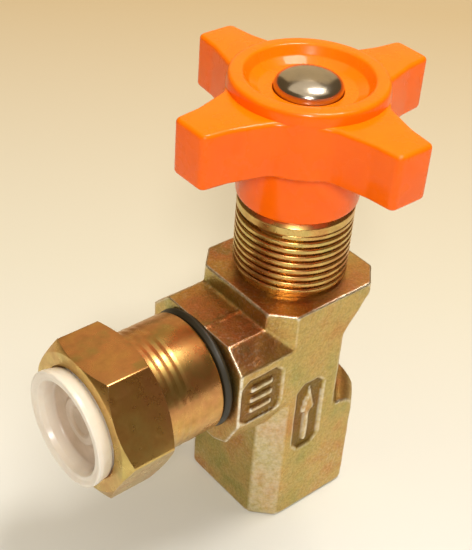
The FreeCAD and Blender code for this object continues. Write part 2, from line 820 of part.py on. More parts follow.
# the cap's crown is a fan of short straight steps that follow a flat dome
CROWN_STEPS = 6
cap_profile = [
    ("dims.cap_radius - dims.cap_wall", "dims.cap_low"),
    ("dims.cap_radius", "dims.cap_low"),
    ("dims.cap_radius", "dims.cap_shoulder"),
]
for step in range(1, CROWN_STEPS):
    share = math.radians(90.0 * step / CROWN_STEPS)
    cap_profile.append((
        f"{math.cos(share):.4f}*dims.cap_radius",
        f"dims.cap_shoulder + {math.sin(share):.4f}*dims.cap_height"))
cap_profile += [
    ("0", "dims.cap_shoulder + dims.cap_height"),
    ("0", "dims.cap_shoulder + dims.cap_height - dims.cap_wall"),
    ("dims.cap_radius - dims.cap_wall", "dims.cap_shoulder"),
]
dome_cap = turned("dome_cap", cap_profile)

# ---------------------------------------------------------------------------
# Branch: nipple, seals, swivel nut and protective plug
# ---------------------------------------------------------------------------
dust_ring = washer(
    "dust_ring", "dims.dust_ring_inner", "dims.dust_ring_outer",
    "dims.branch_face", "dims.ring_face", axis="X")

nipple_seal = washer(
    "nipple_seal", "dims.seal_inner", "dims.nipple_bore_radius - dims.slip",
    "dims.seal_low", "dims.nipple_low", axis="X")


def cone_radius(distance):
    """Return the radius expression of the nipple's tapered nose at a distance."""
    return (f"dims.cone_radius - dims.cone_slope*{distance}"
            f" + dims.cone_slope*dims.nipple_head_high")


nipple = turned("nipple", [
    ("dims.nipple_bore", "dims.nipple_low"),
    ("dims.nipple_neck", "dims.nipple_low"),
    ("dims.nipple_neck", "dims.nipple_head_low"),
    ("dims.nipple_head_radius", "dims.nipple_head_low + dims.nipple_head_taper"),
    ("dims.nipple_head_radius", "dims.nipple_head_high"),
    ("dims.cone_radius", "dims.nipple_head_high"),
    (cone_radius("dims.cone_groove_low"), "dims.cone_groove_low"),
    (cone_radius("dims.cone_groove_low") + " - dims.cone_groove_depth", "dims.cone_groove_low"),
    (cone_radius("dims.cone_groove_low") + " - dims.cone_groove_depth", "dims.cone_groove_high"),
    (cone_radius("dims.cone_groove_high"), "dims.cone_groove_high"),
    (cone_radius("dims.nipple_high"), "dims.nipple_high"),
    ("dims.nipple_mouth", "dims.nipple_high"),
    ("dims.nipple_bore", "dims.nipple_high - 1.2"),
], axis="X")

cone_o_ring = seal_ring(
    "cone_o_ring", cone_radius("dims.cone_groove_low") + " - dims.cone_groove_depth",
    cone_radius("dims.cone_groove_low") + " + 0.2",
    "dims.cone_groove_low + 0.15", "dims.cone_groove_high - 0.15", axis="X")

nut_turned_profile = [
    ("dims.nut_collar_radius", "dims.nut_low"),
    ("dims.nut_skirt_radius - dims.nut_skirt_chamfer", "dims.nut_low"),
    ("dims.nut_skirt_radius", "dims.nut_low + dims.nut_skirt_chamfer"),
]
NUT_GROOVES = 3
for groove in range(NUT_GROOVES):
    start = f"dims.nut_groove_first + {groove}*dims.nut_groove_pitch"
    middle = f"{start} + 0.5*dims.nut_groove_width"
    nut_turned_profile += [
        ("dims.nut_skirt_radius", start),
        ("dims.nut_skirt_radius - dims.nut_groove_depth", middle),
        ("dims.nut_skirt_radius", f"{start} + dims.nut_groove_width"),
    ]
nut_turned_profile += [
    ("dims.nut_skirt_radius", "dims.nut_hex_low + 1"),
    ("dims.nut_thread_radius", "dims.nut_hex_low + 1"),
    ("dims.nut_thread_radius", "dims.nut_thread_low + 0.2"),
    ("dims.nut_chamber_radius", "dims.nut_thread_low + 0.1"),
    ("dims.nut_chamber_radius", "dims.nut_seat_low + 1.3"),
    ("dims.nut_collar_radius", "dims.nut_seat_low"),
]
nut_skirt = turned("nut_skirt", nut_turned_profile, axis="X")

nut_hex = doc.addObject("PartDesign::Body", "nut_hex")
hex_sketch = new_sketch(nut_hex, "hex_outline", "YZ_Plane", "dims.nut_hex_low")
hex_corner = 0.5 / math.cos(math.radians(30))
hex_points = []
for corner_index in range(6):
    corner_angle = math.radians(60 * corner_index + SIZES["nut_hex_turn"])
    hex_points.append((
        f"{hex_corner * math.cos(corner_angle):.6f}*dims.nut_hex_across",
        f"{hex_corner * math.sin(corner_angle):.6f}*dims.nut_hex_across"))
polygon(hex_sketch, hex_points)
hex_pad = nut_hex.newObject("PartDesign::Pad", "hex_pad")
hex_pad.Profile = hex_sketch
hex_pad.setExpression("Length", "dims.nut_high - dims.nut_hex_low")
nut_hex.Placement = FreeCAD.Placement(
    FreeCAD.Vector(0, 0, SIZES["branch_height"]), FreeCAD.Rotation(FreeCAD.Vector(0, 0, 1), 180))
nut_hex.setExpression("Placement.Base.z", "dims.branch_height")
doc.recompute()

nut_bore = turned("nut_bore", [
    ("0", "dims.nut_hex_low - 1"),
    ("dims.nut_thread_radius", "dims.nut_hex_low - 1"),
    ("dims.nut_thread_radius", "dims.nut_high - dims.nut_mouth_chamfer"),
    ("dims.nut_mouth_radius", "dims.nut_high"),
    ("dims.nut_mouth_radius", "dims.nut_high + 1"),
    ("0", "dims.nut_high + 1"),
], axis="X")
nut_corner_front = turned("nut_corner_front", [
    ("dims.nut_front_radius", "dims.nut_high"),
    ("dims.nut_front_radius", "dims.nut_high + 1"),
    ("dims.nut_front_radius + 4", "dims.nut_high + 1"),
    ("dims.nut_front_radius + 4", "dims.nut_high - 4*dims.nut_end_slope"),
], axis="X")
nut_corner_back = turned("nut_corner_back", [
    ("dims.nut_back_radius", "dims.nut_hex_low"),
    ("dims.nut_back_radius + 4", "dims.nut_hex_low + 4*dims.nut_end_slope"),
    ("dims.nut_back_radius + 4", "dims.nut_hex_low - 1"),
    ("dims.nut_back_radius", "dims.nut_hex_low - 1"),
], axis="X")
hex_end = cut("hex_end", nut_hex, [nut_bore, nut_corner_front, nut_corner_back])
swivel_nut = doc.addObject("Part::MultiFuse", "swivel_nut")
swivel_nut.Shapes = [hex_end, nut_skirt]
swivel_nut.Refine = True
doc.recompute()

plug = turned("protective_plug", [
    ("0", "dims.plug_floor_low"),
    ("dims.plug_hole_radius", "dims.plug_floor_low"),
    ("dims.plug_hole_radius", "dims.plug_low"),
    ("dims.plug_tube_radius - dims.plug_lip", "dims.plug_low"),
    ("dims.plug_tube_radius", "dims.plug_low + dims.plug_lip"),
    ("dims.plug_tube_radius", "dims.plug_flange_low"),
    ("dims.plug_flange_radius", "dims.plug_flange_low"),
    ("dims.plug_flange_radius", "dims.plug_flange_high - dims.plug_lip"),
    ("dims.plug_flange_radius - dims.plug_lip", "dims.plug_flange_high"),
    ("dims.plug_hole_radius + dims.plug_lip", "dims.plug_flange_high"),
    ("dims.plug_hole_radius", "dims.plug_flange_high - dims.plug_lip"),
    ("dims.plug_hole_radius", "dims.plug_floor_low + dims.plug_floor"),
    ("0", "dims.plug_floor_low + dims.plug_floor"),
], axis="X")

# ---------------------------------------------------------------------------
# Check every feature, then write one STEP file per piece
# ---------------------------------------------------------------------------
PIECES = [
    body, seat_insert, bonnet, bonnet_o_ring, lower_washer, lower_packing, upper_packing,
    follower, gland_nut, wiper, needle, spindle, retaining_ring, handle, hub_insert,
    screw_washer, handle_screw, dome_cap, dust_ring, nipple_seal, nipple, cone_o_ring,
    swivel_nut, plug,
]
doc.recompute()
for feature in doc.Objects:
    if "Invalid" in feature.State or "Error" in feature.State:
        raise RuntimeError(f"{feature.Name} did not build: {feature.State}")
for piece in PIECES:
    piece.Label = piece.Name
    if piece.Shape.isNull() or not piece.Shape.isValid():
        raise RuntimeError(f"{piece.Name} has no valid shape")
    if len(piece.Shape.Solids) != 1:
        raise RuntimeError(f"{piece.Name} has {len(piece.Shape.Solids)} solids")
    box_of_piece = piece.Shape.BoundBox
    print(f"{piece.Name:24s} volume {piece.Shape.Volume:10.1f}"
          f"  x {box_of_piece.XMin:7.2f} {box_of_piece.XMax:7.2f}"
          f"  y {box_of_piece.YMin:7.2f} {box_of_piece.YMax:7.2f}"
          f"  z {box_of_piece.ZMin:7.2f} {box_of_piece.ZMax:7.2f}")
    piece.Shape.exportStep(f"parts/{piece.Name}.step")
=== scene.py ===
"""Looks of an angle needle valve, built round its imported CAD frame.

Row frame, in metres: the origin is the centre of the bottom port's face, +Z runs up the
spindle to the handle, -X out of the side branch and -Y towards the face with the arrow.
Sizes of pieces are in millimetres and are turned to metres when a mesh is made. Finishes
and lights give their places and depths in metres.
"""
import logging
import math
from dataclasses import asdict, dataclass
from enum import Enum
from typing import Optional, Sequence, Union

import bmesh
import bpy
from mathutils import Matrix, Vector, noise


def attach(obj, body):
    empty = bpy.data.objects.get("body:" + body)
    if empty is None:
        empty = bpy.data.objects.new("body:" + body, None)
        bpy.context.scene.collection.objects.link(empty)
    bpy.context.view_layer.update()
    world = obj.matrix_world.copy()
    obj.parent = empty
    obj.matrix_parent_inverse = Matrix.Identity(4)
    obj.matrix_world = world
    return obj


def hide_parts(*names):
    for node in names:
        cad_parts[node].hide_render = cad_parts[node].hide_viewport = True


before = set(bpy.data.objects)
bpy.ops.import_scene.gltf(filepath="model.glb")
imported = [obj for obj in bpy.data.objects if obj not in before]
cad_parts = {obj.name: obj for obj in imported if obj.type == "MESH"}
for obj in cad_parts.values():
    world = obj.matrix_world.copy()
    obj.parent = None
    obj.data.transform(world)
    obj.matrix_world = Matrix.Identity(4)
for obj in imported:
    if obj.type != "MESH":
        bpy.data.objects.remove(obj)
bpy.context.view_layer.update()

MM = 0.001
PER_METRE = 1000
BRANCH_HEIGHT = 38.8
TINY = 1e-6
MERGE_DISTANCE = 2e-6
SHARP_DEGREES = 32.0
EDGE_LAYER = "edge_wear_and_glint"
FLOAT = "NodeSocketFloat"
VECTOR = "NodeSocketVector"
COLOUR = "NodeSocketColor"

logging.basicConfig(level=logging.INFO, format="%(name)s: %(message)s")
log = logging.getLogger("needle_valve")

Thing = bpy.types.Object
Material = bpy.types.Material
Node = bpy.types.Node
NodeTree = bpy.types.NodeTree
Socket = bpy.types.NodeSocket
Point = tuple[float, float]
Corner = tuple[float, float, float]
Colour = tuple[float, float, float]
Value = Union[Socket, float, Colour]
Inputs = dict[int | str, Value]
Sockets = bpy.types.bpy_prop_collection


class Axis(Enum):
    """Lines that the valve's round pieces are turned about."""

    SPINDLE = "spindle"
    BRANCH = "branch"


class BodyName(Enum):
    """Rigid bodies of the CAD frame that new pieces ride on."""

    VALVE = "valve_body"
    SPINDLE = "spindle"
    NUT = "nut"
    PLUG = "plug"


def place(axis: Axis, radius: float, along: float, angle: float) -> Vector:
    """Turn a point of a turned profile into the row frame.

    Args:
        axis: line that the piece is turned about.
        radius: distance from that line, mm.
        along: height for the spindle, distance outwards for the branch, mm.
        angle: angle round the line, radians.

    Returns:
        The point, metres.
    """
    across = radius * math.cos(angle)
    over = radius * math.sin(angle)
    if axis is Axis.SPINDLE:
        return Vector((across, over, along)) * MM
    return Vector((-along, -across, BRANCH_HEIGHT + over)) * MM


def rounded(profile: Sequence[Corner], steps: int = 5) -> list[Point]:
    """Round the corners of a closed profile.

    Args:
        profile: corners as (radius, along, corner rounding), mm.
        steps: straight steps in each rounded corner.

    Returns:
        Corners of the rounded profile.
    """
    least_tangent = 1e-3
    most_of_side = 0.49
    result: list[Point] = []
    for index, (x, y, rounding) in enumerate(profile):
        here = Vector((x, y))
        before = Vector(profile[index - 1][:2]) - here
        after = Vector(profile[(index + 1) % len(profile)][:2]) - here
        if rounding <= 0 or before.length < TINY or after.length < TINY:
            result.append((x, y))
            continue
        back, forward = before.normalized(), after.normalized()
        tangent = max(math.tan(back.angle(forward) / 2), least_tangent)
        reach = min(rounding / tangent, before.length * most_of_side,
                    after.length * most_of_side)
        start = here + back * reach
        end = here + forward * reach
        for step in range(steps + 1):
            share = step / steps
            point = start.lerp(here, share).lerp(here.lerp(end, share), share)
            result.append((point.x, point.y))
    return result


def shade(mesh: bpy.types.Mesh, sharp_degrees: float = SHARP_DEGREES) -> None:
    """Shade a mesh smoothly between its sharp edges.

    Args:
        mesh: mesh to change.
        sharp_degrees: edges that turn more than this stay sharp.
    """
    for face in mesh.polygons:
        face.use_smooth = True
    mesh.set_sharp_from_angle(angle=math.radians(sharp_degrees))


def finish_mesh(name: str, shape: bmesh.types.BMesh,
                sharp_degrees: float = SHARP_DEGREES) -> Thing:
    """Turn a bmesh into a smooth-shaded object with outward faces.

    Args:
        name: name of the new object.
        shape: the mesh, which is freed here.
        sharp_degrees: edges that turn more than this stay sharp.

    Returns:
        The new object, linked to the scene.
    """
    bmesh.ops.remove_doubles(shape, verts=shape.verts, dist=MERGE_DISTANCE)
    bmesh.ops.recalc_face_normals(shape, faces=shape.faces)
    mesh = bpy.data.meshes.new(name)
    shape.to_mesh(mesh)
    shape.free()
    shade(mesh, sharp_degrees)
    thing = bpy.data.objects.new(name, mesh)
    bpy.context.scene.collection.objects.link(thing)
    return thing


def bridge(shape: bmesh.types.BMesh, low: Sequence[bmesh.types.BMVert],
           high: Sequence[bmesh.types.BMVert]) -> None:
    """Join two rings with a band of faces, leaving out faces that shrink to a line.

    Args:
        shape: mesh that holds both rings.
        low: first ring; a pole is one corner repeated.
        high: second ring, as long as the first.
    """
    for side, corner in enumerate(low):
        following = (side + 1) % len(low)
        corners = dict.fromkeys((corner, low[following], high[following], high[side]))
        if len(corners) > 2:
            shape.faces.new(list(corners))


def lathe(name: str, axis: Axis, profile: Sequence[Point], segments: int = 128) -> Thing:
    """Turn a closed profile about one of the valve's axes.

    Args:
        name: name of the new object.
        axis: line to turn about.
        profile: corners as (radius, along), mm; those on the axis become poles.
        segments: number of sides round the axis.

    Returns:
        The new object.
    """
    shape = bmesh.new()
    rings = []
    for radius, along in profile:
        if radius < TINY:
            rings.append([shape.verts.new(place(axis, 0.0, along, 0.0))] * segments)
            continue
        rings.append([shape.verts.new(place(axis, radius, along, math.tau * side / segments))
                      for side in range(segments)])
    for low, high in zip(rings, rings[1:] + rings[:1]):
        bridge(shape, low, high)
    return finish_mesh(name, shape)


def cad_copy(name: str, node: str, flat_degrees: float = 0.05) -> Thing:
    """Copy a CAD node's mesh, merged and with its flat faces joined up.

    Args:
        name: name of the new object.
        node: CAD node to copy.
        flat_degrees: faces that turn less than this are joined.

    Returns:
        The new object.
    """
    shape = bmesh.new()
    shape.from_mesh(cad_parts[node].data)
    bmesh.ops.remove_doubles(shape, verts=shape.verts, dist=TINY)
    bmesh.ops.dissolve_limit(shape, angle_limit=math.radians(flat_degrees),
                             verts=shape.verts, edges=shape.edges)
    return finish_mesh(name, shape)


def plain_mesh(thing: Thing) -> bpy.types.Mesh:
    """Give a new mesh of an object as its modifiers shape it.

    Args:
        thing: object to read.

    Returns:
        The new mesh.
    """
    graph = bpy.context.evaluated_depsgraph_get()
    return bpy.data.meshes.new_from_object(thing.evaluated_get(graph))


def apply_modifiers(thing: Thing) -> None:
    """Bake an object's modifiers into its mesh and remove them.

    Args:
        thing: object to change.
    """
    mesh = plain_mesh(thing)
    thing.modifiers.clear()
    thing.data = mesh


def combine(thing: Thing, tool: Thing, operation: str) -> None:
    """Cut, join or intersect an object with a tool, and delete the tool.

    Args:
        thing: object to change.
        tool: closed object that it meets.
        operation: Blender's name for the boolean.
    """
    modifier = thing.modifiers.new(operation.lower(), "BOOLEAN")
    modifier.operation = operation
    modifier.solver = "EXACT"
    modifier.object = tool
    apply_modifiers(thing)
    bpy.data.objects.remove(tool)


@dataclass(frozen=True)
class Graph:
    """A node tree, with short ways to add and join its nodes."""

    tree: NodeTree

    def feed(self, node: Node, inputs: Inputs) -> None:
        """Link a node's inputs to sockets, or set them to constants.

        Args:
            node: node to feed.
            inputs: input name or number to what it gets.
        """
        for key, value in inputs.items():
            socket = node.inputs[key]
            if isinstance(value, Socket):
                self.tree.links.new(value, socket)
            elif socket.type == "RGBA":
                socket.default_value = (*value, 1.0)
            else:
                socket.default_value = value

    def add(self, kind: str, inputs: Inputs, **settings: Union[str, bool, NodeTree]) -> Node:
        """Add a node.

        Args:
            kind: Blender's name for the node.
            inputs: input name or number to what it gets.
            settings: the node's own properties.

        Returns:
            The node.
        """
        node = self.tree.nodes.new(kind)
        for name, setting in settings.items():
            setattr(node, name, setting)
        self.feed(node, inputs)
        return node

    def math(self, operation: str, *values: Value, clamp: bool = False) -> Socket:
        """Add a maths node.

        Args:
            operation: Blender's name for the operation.
            values: its inputs in order.
            clamp: whether to hold the result between 0 and 1.

        Returns:
            The result.
        """
        node = self.add("ShaderNodeMath", dict(enumerate(values)),
                        operation=operation, use_clamp=clamp)
        return node.outputs[0]

    def noise(self, where: Socket, scale: Value, detail: float, roughness: float) -> Socket:
        """Add a noise texture.

        Args:
            where: place that it is read at.
            scale: cells per metre.
            detail: octaves.
            roughness: weight of the finer octaves.

        Returns:
            The noise value.
        """
        inputs = {"Vector": where, "Scale": scale, "Detail": detail, "Roughness": roughness}
        return self.add("ShaderNodeTexNoise", inputs).outputs[0]

    def remap(self, value: Socket, low: float, high: float, to_low: float,
              to_high: float) -> Socket:
        """Map one range of a number to another, held at both ends.

        Args:
            value: number to map.
            low: value that gives to_low.
            high: value that gives to_high.
            to_low: result at low.
            to_high: result at high.

        Returns:
            The mapped number.
        """
        numbers = (value, low, high, to_low, to_high)
        return self.add("ShaderNodeMapRange", dict(enumerate(numbers))).outputs[0]

    def mix(self, factor: Value, first: Value, second: Value, mode: str = "MIX") -> Socket:
        """Mix two colours.

        Args:
            factor: share of the second colour.
            first: socket or linear colour.
            second: socket or linear colour.
            mode: blend mode.

        Returns:
            The mixed colour.
        """
        colour_a, colour_b, colour_result = 6, 7, 2
        node = self.add("ShaderNodeMix", {}, data_type="RGBA", blend_type=mode)
        self.feed(node, {0: factor, colour_a: first, colour_b: second})
        return node.outputs[colour_result]

    def ramp(self, value: Socket, stops: Sequence[tuple[float, Colour]]) -> Socket:
        """Add a colour ramp.

        Args:
            value: position along the ramp.
            stops: (position, linear colour) pairs in order.

        Returns:
            The colour.
        """
        node = self.add("ShaderNodeValToRGB", {0: value})
        elements = node.color_ramp.elements
        ready = len(elements)
        for index, (position, colour) in enumerate(stops):
            element = elements[index] if index < ready else elements.new(position)
            element.position = position
            element.color = (*colour, 1.0)
        return node.outputs[0]

    def split(self, vector: Socket) -> Sockets:
        """Give the three parts of a vector.

        Args:
            vector: vector to take apart.

        Returns:
            Its x, y and z.
        """
        return self.add("ShaderNodeSeparateXYZ", {0: vector}).outputs


def start_group(name: str, inputs: dict[str, Optional[float]],
                outputs: dict[str, str]) -> tuple[Graph, Sockets, Node]:
    """Start a shader node group with named sockets.

    Args:
        name: name of the group.
        inputs: socket name to its default, or to None for a vector.
        outputs: socket name to socket type.

    Returns:
        The group's graph, the sockets of its inputs and its output node.
    """
    group = bpy.data.node_groups.new(name, "ShaderNodeTree")
    for label, default in inputs.items():
        kind = VECTOR if default is None else FLOAT
        socket = group.interface.new_socket(label, in_out="INPUT", socket_type=kind)
        if default is not None:
            socket.default_value = default
    for label, kind in outputs.items():
        group.interface.new_socket(label, in_out="OUTPUT", socket_type=kind)
    graph = Graph(group)
    return graph, graph.add("NodeGroupInput", {}).outputs, graph.add("NodeGroupOutput", {})


class Effects:
    """Shader node groups that several finishes share, each built once."""

    PASSIVATED = (
        (0.0, (0.36, 0.38, 0.10)),
        (0.22, (0.56, 0.45, 0.14)),
        (0.42, (0.66, 0.46, 0.15)),
        (0.62, (0.64, 0.34, 0.10)),
        (0.84, (0.62, 0.25, 0.10)),
        (1.0, (0.42, 0.27, 0.09)),
    )
    PLAIN_GOLD = (0.62, 0.43, 0.14)

    def __init__(self) -> None:
        """Build the groups."""
        self.passivation = self._passivation()
        self.grit = self._grit()
        self.turning = self._turning()
        self.dust = self._dust()

    def _passivation(self) -> NodeTree:
        """Build the drifting gold, rose and green tint of yellow passivated zinc.

        Returns:
            The group.
        """
        graph, given, out = start_group(
            "passivated tint", {"Vector": None, "Scale": 90.0, "Strength": 1.0, "Shift": 0.0},
            {"Color": COLOUR, "Mask": FLOAT})
        where, scale = given["Vector"], given["Scale"]
        fine_ratio, fine_share = 4.3, 0.35
        broad = graph.noise(where, scale, detail=3.0, roughness=0.5)
        fine = graph.noise(where, graph.math("MULTIPLY", scale, fine_ratio),
                           detail=3.0, roughness=0.6)
        mixed = graph.math("MULTIPLY_ADD", fine, fine_share, broad)
        shifted = graph.math("ADD", mixed, given["Shift"])
        position = graph.remap(shifted, 0.42, 1.10, 0.0, 1.0)
        tint = graph.ramp(position, self.PASSIVATED)
        colour = graph.mix(given["Strength"], self.PLAIN_GOLD, tint)
        graph.feed(out, {"Color": colour, "Mask": position})
        return graph.tree

    @staticmethod
    def _grit() -> NodeTree:
        """Build the pitted grain of a forged and blasted skin.

        Returns:
            The group.
        """
        graph, given, out = start_group("forged grit", {"Vector": None, "Scale": 900.0},
                                        {"Height": FLOAT, "Mask": FLOAT})
        where, scale = given["Vector"], given["Scale"]
        wide_ratio, wide_share = 0.22, 1.4
        grain = graph.noise(where, scale, detail=5.0, roughness=0.62)
        wide = graph.noise(where, graph.math("MULTIPLY", scale, wide_ratio),
                           detail=3.0, roughness=0.5)
        height = graph.math("MULTIPLY_ADD", wide, wide_share, grain)
        graph.feed(out, {"Height": height, "Mask": graph.remap(grain, 0.35, 0.7, 0.0, 1.0)})
        return graph.tree

    @staticmethod
    def _turning() -> NodeTree:
        """Build fine rings round a piece's axis, as a lathe tool leaves them.

        Returns:
            The group.
        """
        graph, given, out = start_group(
            "turning rings", {"Along": 0.0, "Radius": 0.0, "Density": 2600.0},
            {"Height": FLOAT})
        flat = graph.add("ShaderNodeCombineXYZ", {0: given["Along"], 1: given["Radius"]})
        rings = graph.noise(flat.outputs[0], given["Density"], detail=3.0, roughness=0.7)
        graph.feed(out, {"Height": rings})
        return graph.tree

    @staticmethod
    def _dust() -> NodeTree:
        """Build small scattered specks and smears for smooth surfaces.

        Returns:
            The group.
        """
        graph, given, out = start_group("handling marks", {"Vector": None, "Scale": 260.0},
                                        {"Mask": FLOAT, "Height": FLOAT})
        where, scale = given["Vector"], given["Scale"]
        speck_ratio = 9.0
        smear = graph.noise(where, scale, detail=5.0, roughness=0.6)
        speck = graph.noise(where, graph.math("MULTIPLY", scale, speck_ratio),
                            detail=2.0, roughness=0.5)
        graph.feed(out, {"Mask": graph.remap(smear, 0.4, 0.7, 0.0, 1.0), "Height": speck})
        return graph.tree


class Surface:
    """A material under construction, with its Principled shader and coordinates."""

    def __init__(self, name: str, effects: Effects) -> None:
        """Make the material, its shader and its Object coordinates.

        Args:
            name: name of the material.
            effects: shared node groups.
        """
        self.material = bpy.data.materials.new(name)
        self.material.use_nodes = True
        self.graph = Graph(self.material.node_tree)
        self.effects = effects
        self.shader = self.material.node_tree.nodes["Principled BSDF"]
        coordinates = self.graph.add("ShaderNodeTexCoord", {})
        self.where = coordinates.outputs["Object"]
        self.facing = coordinates.outputs["Normal"]

    def feed(self, inputs: Inputs) -> None:
        """Feed inputs of the Principled shader.

        Args:
            inputs: input name to what it gets.
        """
        self.graph.feed(self.shader, inputs)

    def effect(self, group: NodeTree, **values: Value) -> Sockets:
        """Place a shared group with its own values.

        Args:
            group: the group to place.
            values: input name to number or socket.

        Returns:
            The group's outputs, found by name.
        """
        return self.graph.add("ShaderNodeGroup", values, node_tree=group).outputs

    def marks(self, scale: float) -> Sockets:
        """Place the handling marks.

        Args:
            scale: cells per metre.

        Returns:
            The marks' outputs, found by name.
        """
        return self.effect(self.effects.dust, Vector=self.where, Scale=scale)

    def rings(self, axis: Axis) -> Socket:
        """Place the turning rings about an axis.

        Args:
            axis: line that the piece is turned about.

        Returns:
            Height of the rings.
        """
        along, radius = self.cylinder(axis)
        density = 2600.0
        outputs = self.effect(self.effects.turning, Along=along, Radius=radius, Density=density)
        return outputs["Height"]

    def wear(self, mask: Socket, clean: Value, worn: Value, gloss: float, dull: float) -> None:
        """Colour and roughen the surface by a mask of worn places.

        Args:
            mask: 1 where it is worn.
            clean: colour where it isn't.
            worn: colour where it is.
            gloss: roughness where it isn't.
            dull: roughness where it is.
        """
        self.feed({"Base Color": self.graph.mix(mask, clean, worn),
                   "Roughness": self.graph.remap(mask, 0.0, 1.0, gloss, dull)})

    def bump(self, height: Socket, strength: float, distance: float) -> None:
        """Bend the shader's normal by a height.

        Args:
            height: height of the surface, 0 to 1.
            strength: share of the effect.
            distance: height of a full step, metres.
        """
        inputs = {"Strength": strength, "Distance": distance, "Height": height}
        self.feed({"Normal": self.graph.add("ShaderNodeBump", inputs).outputs[0]})

    def scatter(self, radius: Corner, weight: float, scale: float) -> None:
        """Let light into the surface.

        Args:
            radius: distance that red, green and blue travel, metres.
            weight: share of scattered light.
            scale: multiplier of the distances.
        """
        self.feed({"Subsurface Weight": weight, "Subsurface Radius": radius,
                   "Subsurface Scale": scale})

    def upward(self, low: float, high: float, gain: float) -> Socket:
        """Give a number that rises as the surface turns to face up.

        Args:
            low: upright share of the normal where it starts from 0.
            high: upright share of the normal where it is full.
            gain: value there.

        Returns:
            The number.
        """
        return self.graph.remap(self.graph.split(self.facing)[2], low, high, 0.0, gain)

    def cylinder(self, axis: Axis) -> tuple[Socket, Socket]:
        """Give the distances along an axis and from it, metres.

        Args:
            axis: line to measure from.

        Returns:
            The distance along it and the distance from it.
        """
        x, y, z = self.graph.split(self.where)
        if axis is Axis.SPINDLE:
            along, first, second = z, x, y
        else:
            over = self.graph.math("SUBTRACT", z, BRANCH_HEIGHT * MM)
            along, first, second = x, y, over
        squares = [self.graph.math("MULTIPLY", part, part) for part in (first, second)]
        return along, self.graph.math("SQRT", self.graph.math("ADD", *squares))


@dataclass(frozen=True)
class ForgedZinc:
    """Yellow passivated zinc on a forged and blasted skin, with painted shade inside the
    recessed marks.
    """

    name: str = "forged yellow zinc"
    tint_scale: float = 75.0
    tint_strength: float = 0.9
    top_sheen_shift: float = 0.24
    grit_scale: float = 2300.0
    grit_depth: float = 0.00020
    grit_strength: float = 0.5
    pit_shade: Colour = (0.72, 0.70, 0.68)
    hollow_painted_shade: Colour = (0.45, 0.37, 0.26)
    bare_metal_and_glint: Colour = (0.86, 0.80, 0.66)
    pit_roughness: float = 0.44
    peak_roughness: float = 0.30
    rubbed_gloss: float = 0.08
    break_scale: float = 900.0
    fleck_scale: float = 1500.0
    fleck_share: float = 0.42
    zone_scale: float = 60.0
    mark_low: float = -0.0131
    mark_high: float = -0.0128
    mark_floor_low: float = -0.0123
    mark_floor_high: float = -0.0121
    marks: tuple[tuple[float, float, float, float], ...] = (
        (-0.0216, -0.0114, 0.0324, 0.0436), (-0.0071, 0.0001, 0.0175, 0.0350))

    def _worn_and_glint(self, surface: Surface) -> Socket:
        """Mask the places where the tint is rubbed through to bright metal; on the edges this
        also paints highlights.

        Args:
            surface: material being built.

        Returns:
            Up to 1 on rubbed edges and scattered flecks, 0 elsewhere.
        """
        graph, where = surface.graph, surface.where
        shape = graph.add("ShaderNodeAttribute", {}, attribute_name=EDGE_LAYER)
        broken = graph.noise(where, self.break_scale, detail=4.0, roughness=0.6)
        edge = graph.math("MULTIPLY", shape.outputs["Fac"],
                          graph.remap(broken, 0.30, 0.60, 0.25, 1.0))
        flecks = graph.remap(surface.marks(self.fleck_scale)["Mask"],
                             0.35, 1.0, 0.0, self.fleck_share)
        zone = graph.noise(where, self.zone_scale, detail=4.0, roughness=0.65)
        sparse = graph.math("MULTIPLY", flecks, graph.remap(zone, 0.42, 0.66, 0.0, 1.0))
        return graph.math("MAXIMUM", edge, sparse)

    def _hollow(self, surface: Surface) -> Socket:
        """Mask the recessed marks on the front face, where painted shade goes.

        Args:
            surface: material being built.

        Returns:
            1 inside the recesses and 0 elsewhere.
        """
        graph = surface.graph
        x, y, z = graph.split(surface.where)
        deep = graph.remap(y, self.mark_low, self.mark_high, 0.0, 1.0)
        shallow = graph.remap(y, self.mark_floor_low, self.mark_floor_high, 1.0, 0.0)
        within = graph.math("MULTIPLY", deep, shallow)
        places: Value = 0.0
        for left, right, low, high in self.marks:
            inside: Value = 1.0
            for axis, start, end in ((x, left, right), (z, low, high)):
                after = graph.math("GREATER_THAN", axis, start)
                before = graph.math("LESS_THAN", axis, end)
                inside = graph.math("MULTIPLY", graph.math("MULTIPLY", after, before), inside)
            places = graph.math("ADD", inside, places)
        return graph.math("MULTIPLY", within, places, clamp=True)

    def paint(self, surface: Surface) -> None:
        """Build the material.

        Args:
            surface: material being built.
        """
        graph, effects = surface.graph, surface.effects
        # Painted sheen: up-facing surfaces are shifted towards the rose-copper end of the tint.
        tint = surface.effect(
            effects.passivation, Vector=surface.where, Scale=self.tint_scale,
            Strength=self.tint_strength, Shift=surface.upward(0.25, 0.9, self.top_sheen_shift))
        grit = surface.effect(effects.grit, Vector=surface.where, Scale=self.grit_scale)
        dark = graph.mix(1.0, tint["Color"], self.pit_shade, "MULTIPLY")
        colour = graph.mix(grit["Mask"], dark, tint["Color"])
        # Painted shade: the recessed marks are darkened as if they lay in shadow.
        hollow_shaded = graph.mix(1.0, colour, self.hollow_painted_shade, "MULTIPLY")
        colour = graph.mix(self._hollow(surface), colour, hollow_shaded)
        worn = self._worn_and_glint(surface)
        rough = graph.remap(grit["Mask"], 0.0, 1.0, self.pit_roughness, self.peak_roughness)
        polish = graph.math("MULTIPLY", worn, self.rubbed_gloss)
        # Bright metal on rubbed edges and flecks: partly real wear, partly painted highlights on
        # the edges.
        surface.feed({"Base Color": graph.mix(worn, colour, self.bare_metal_and_glint), "Metallic": 1.0,
                      "Roughness": graph.math("SUBTRACT", rough, polish)})
        surface.bump(grit["Height"], self.grit_strength, self.grit_depth)


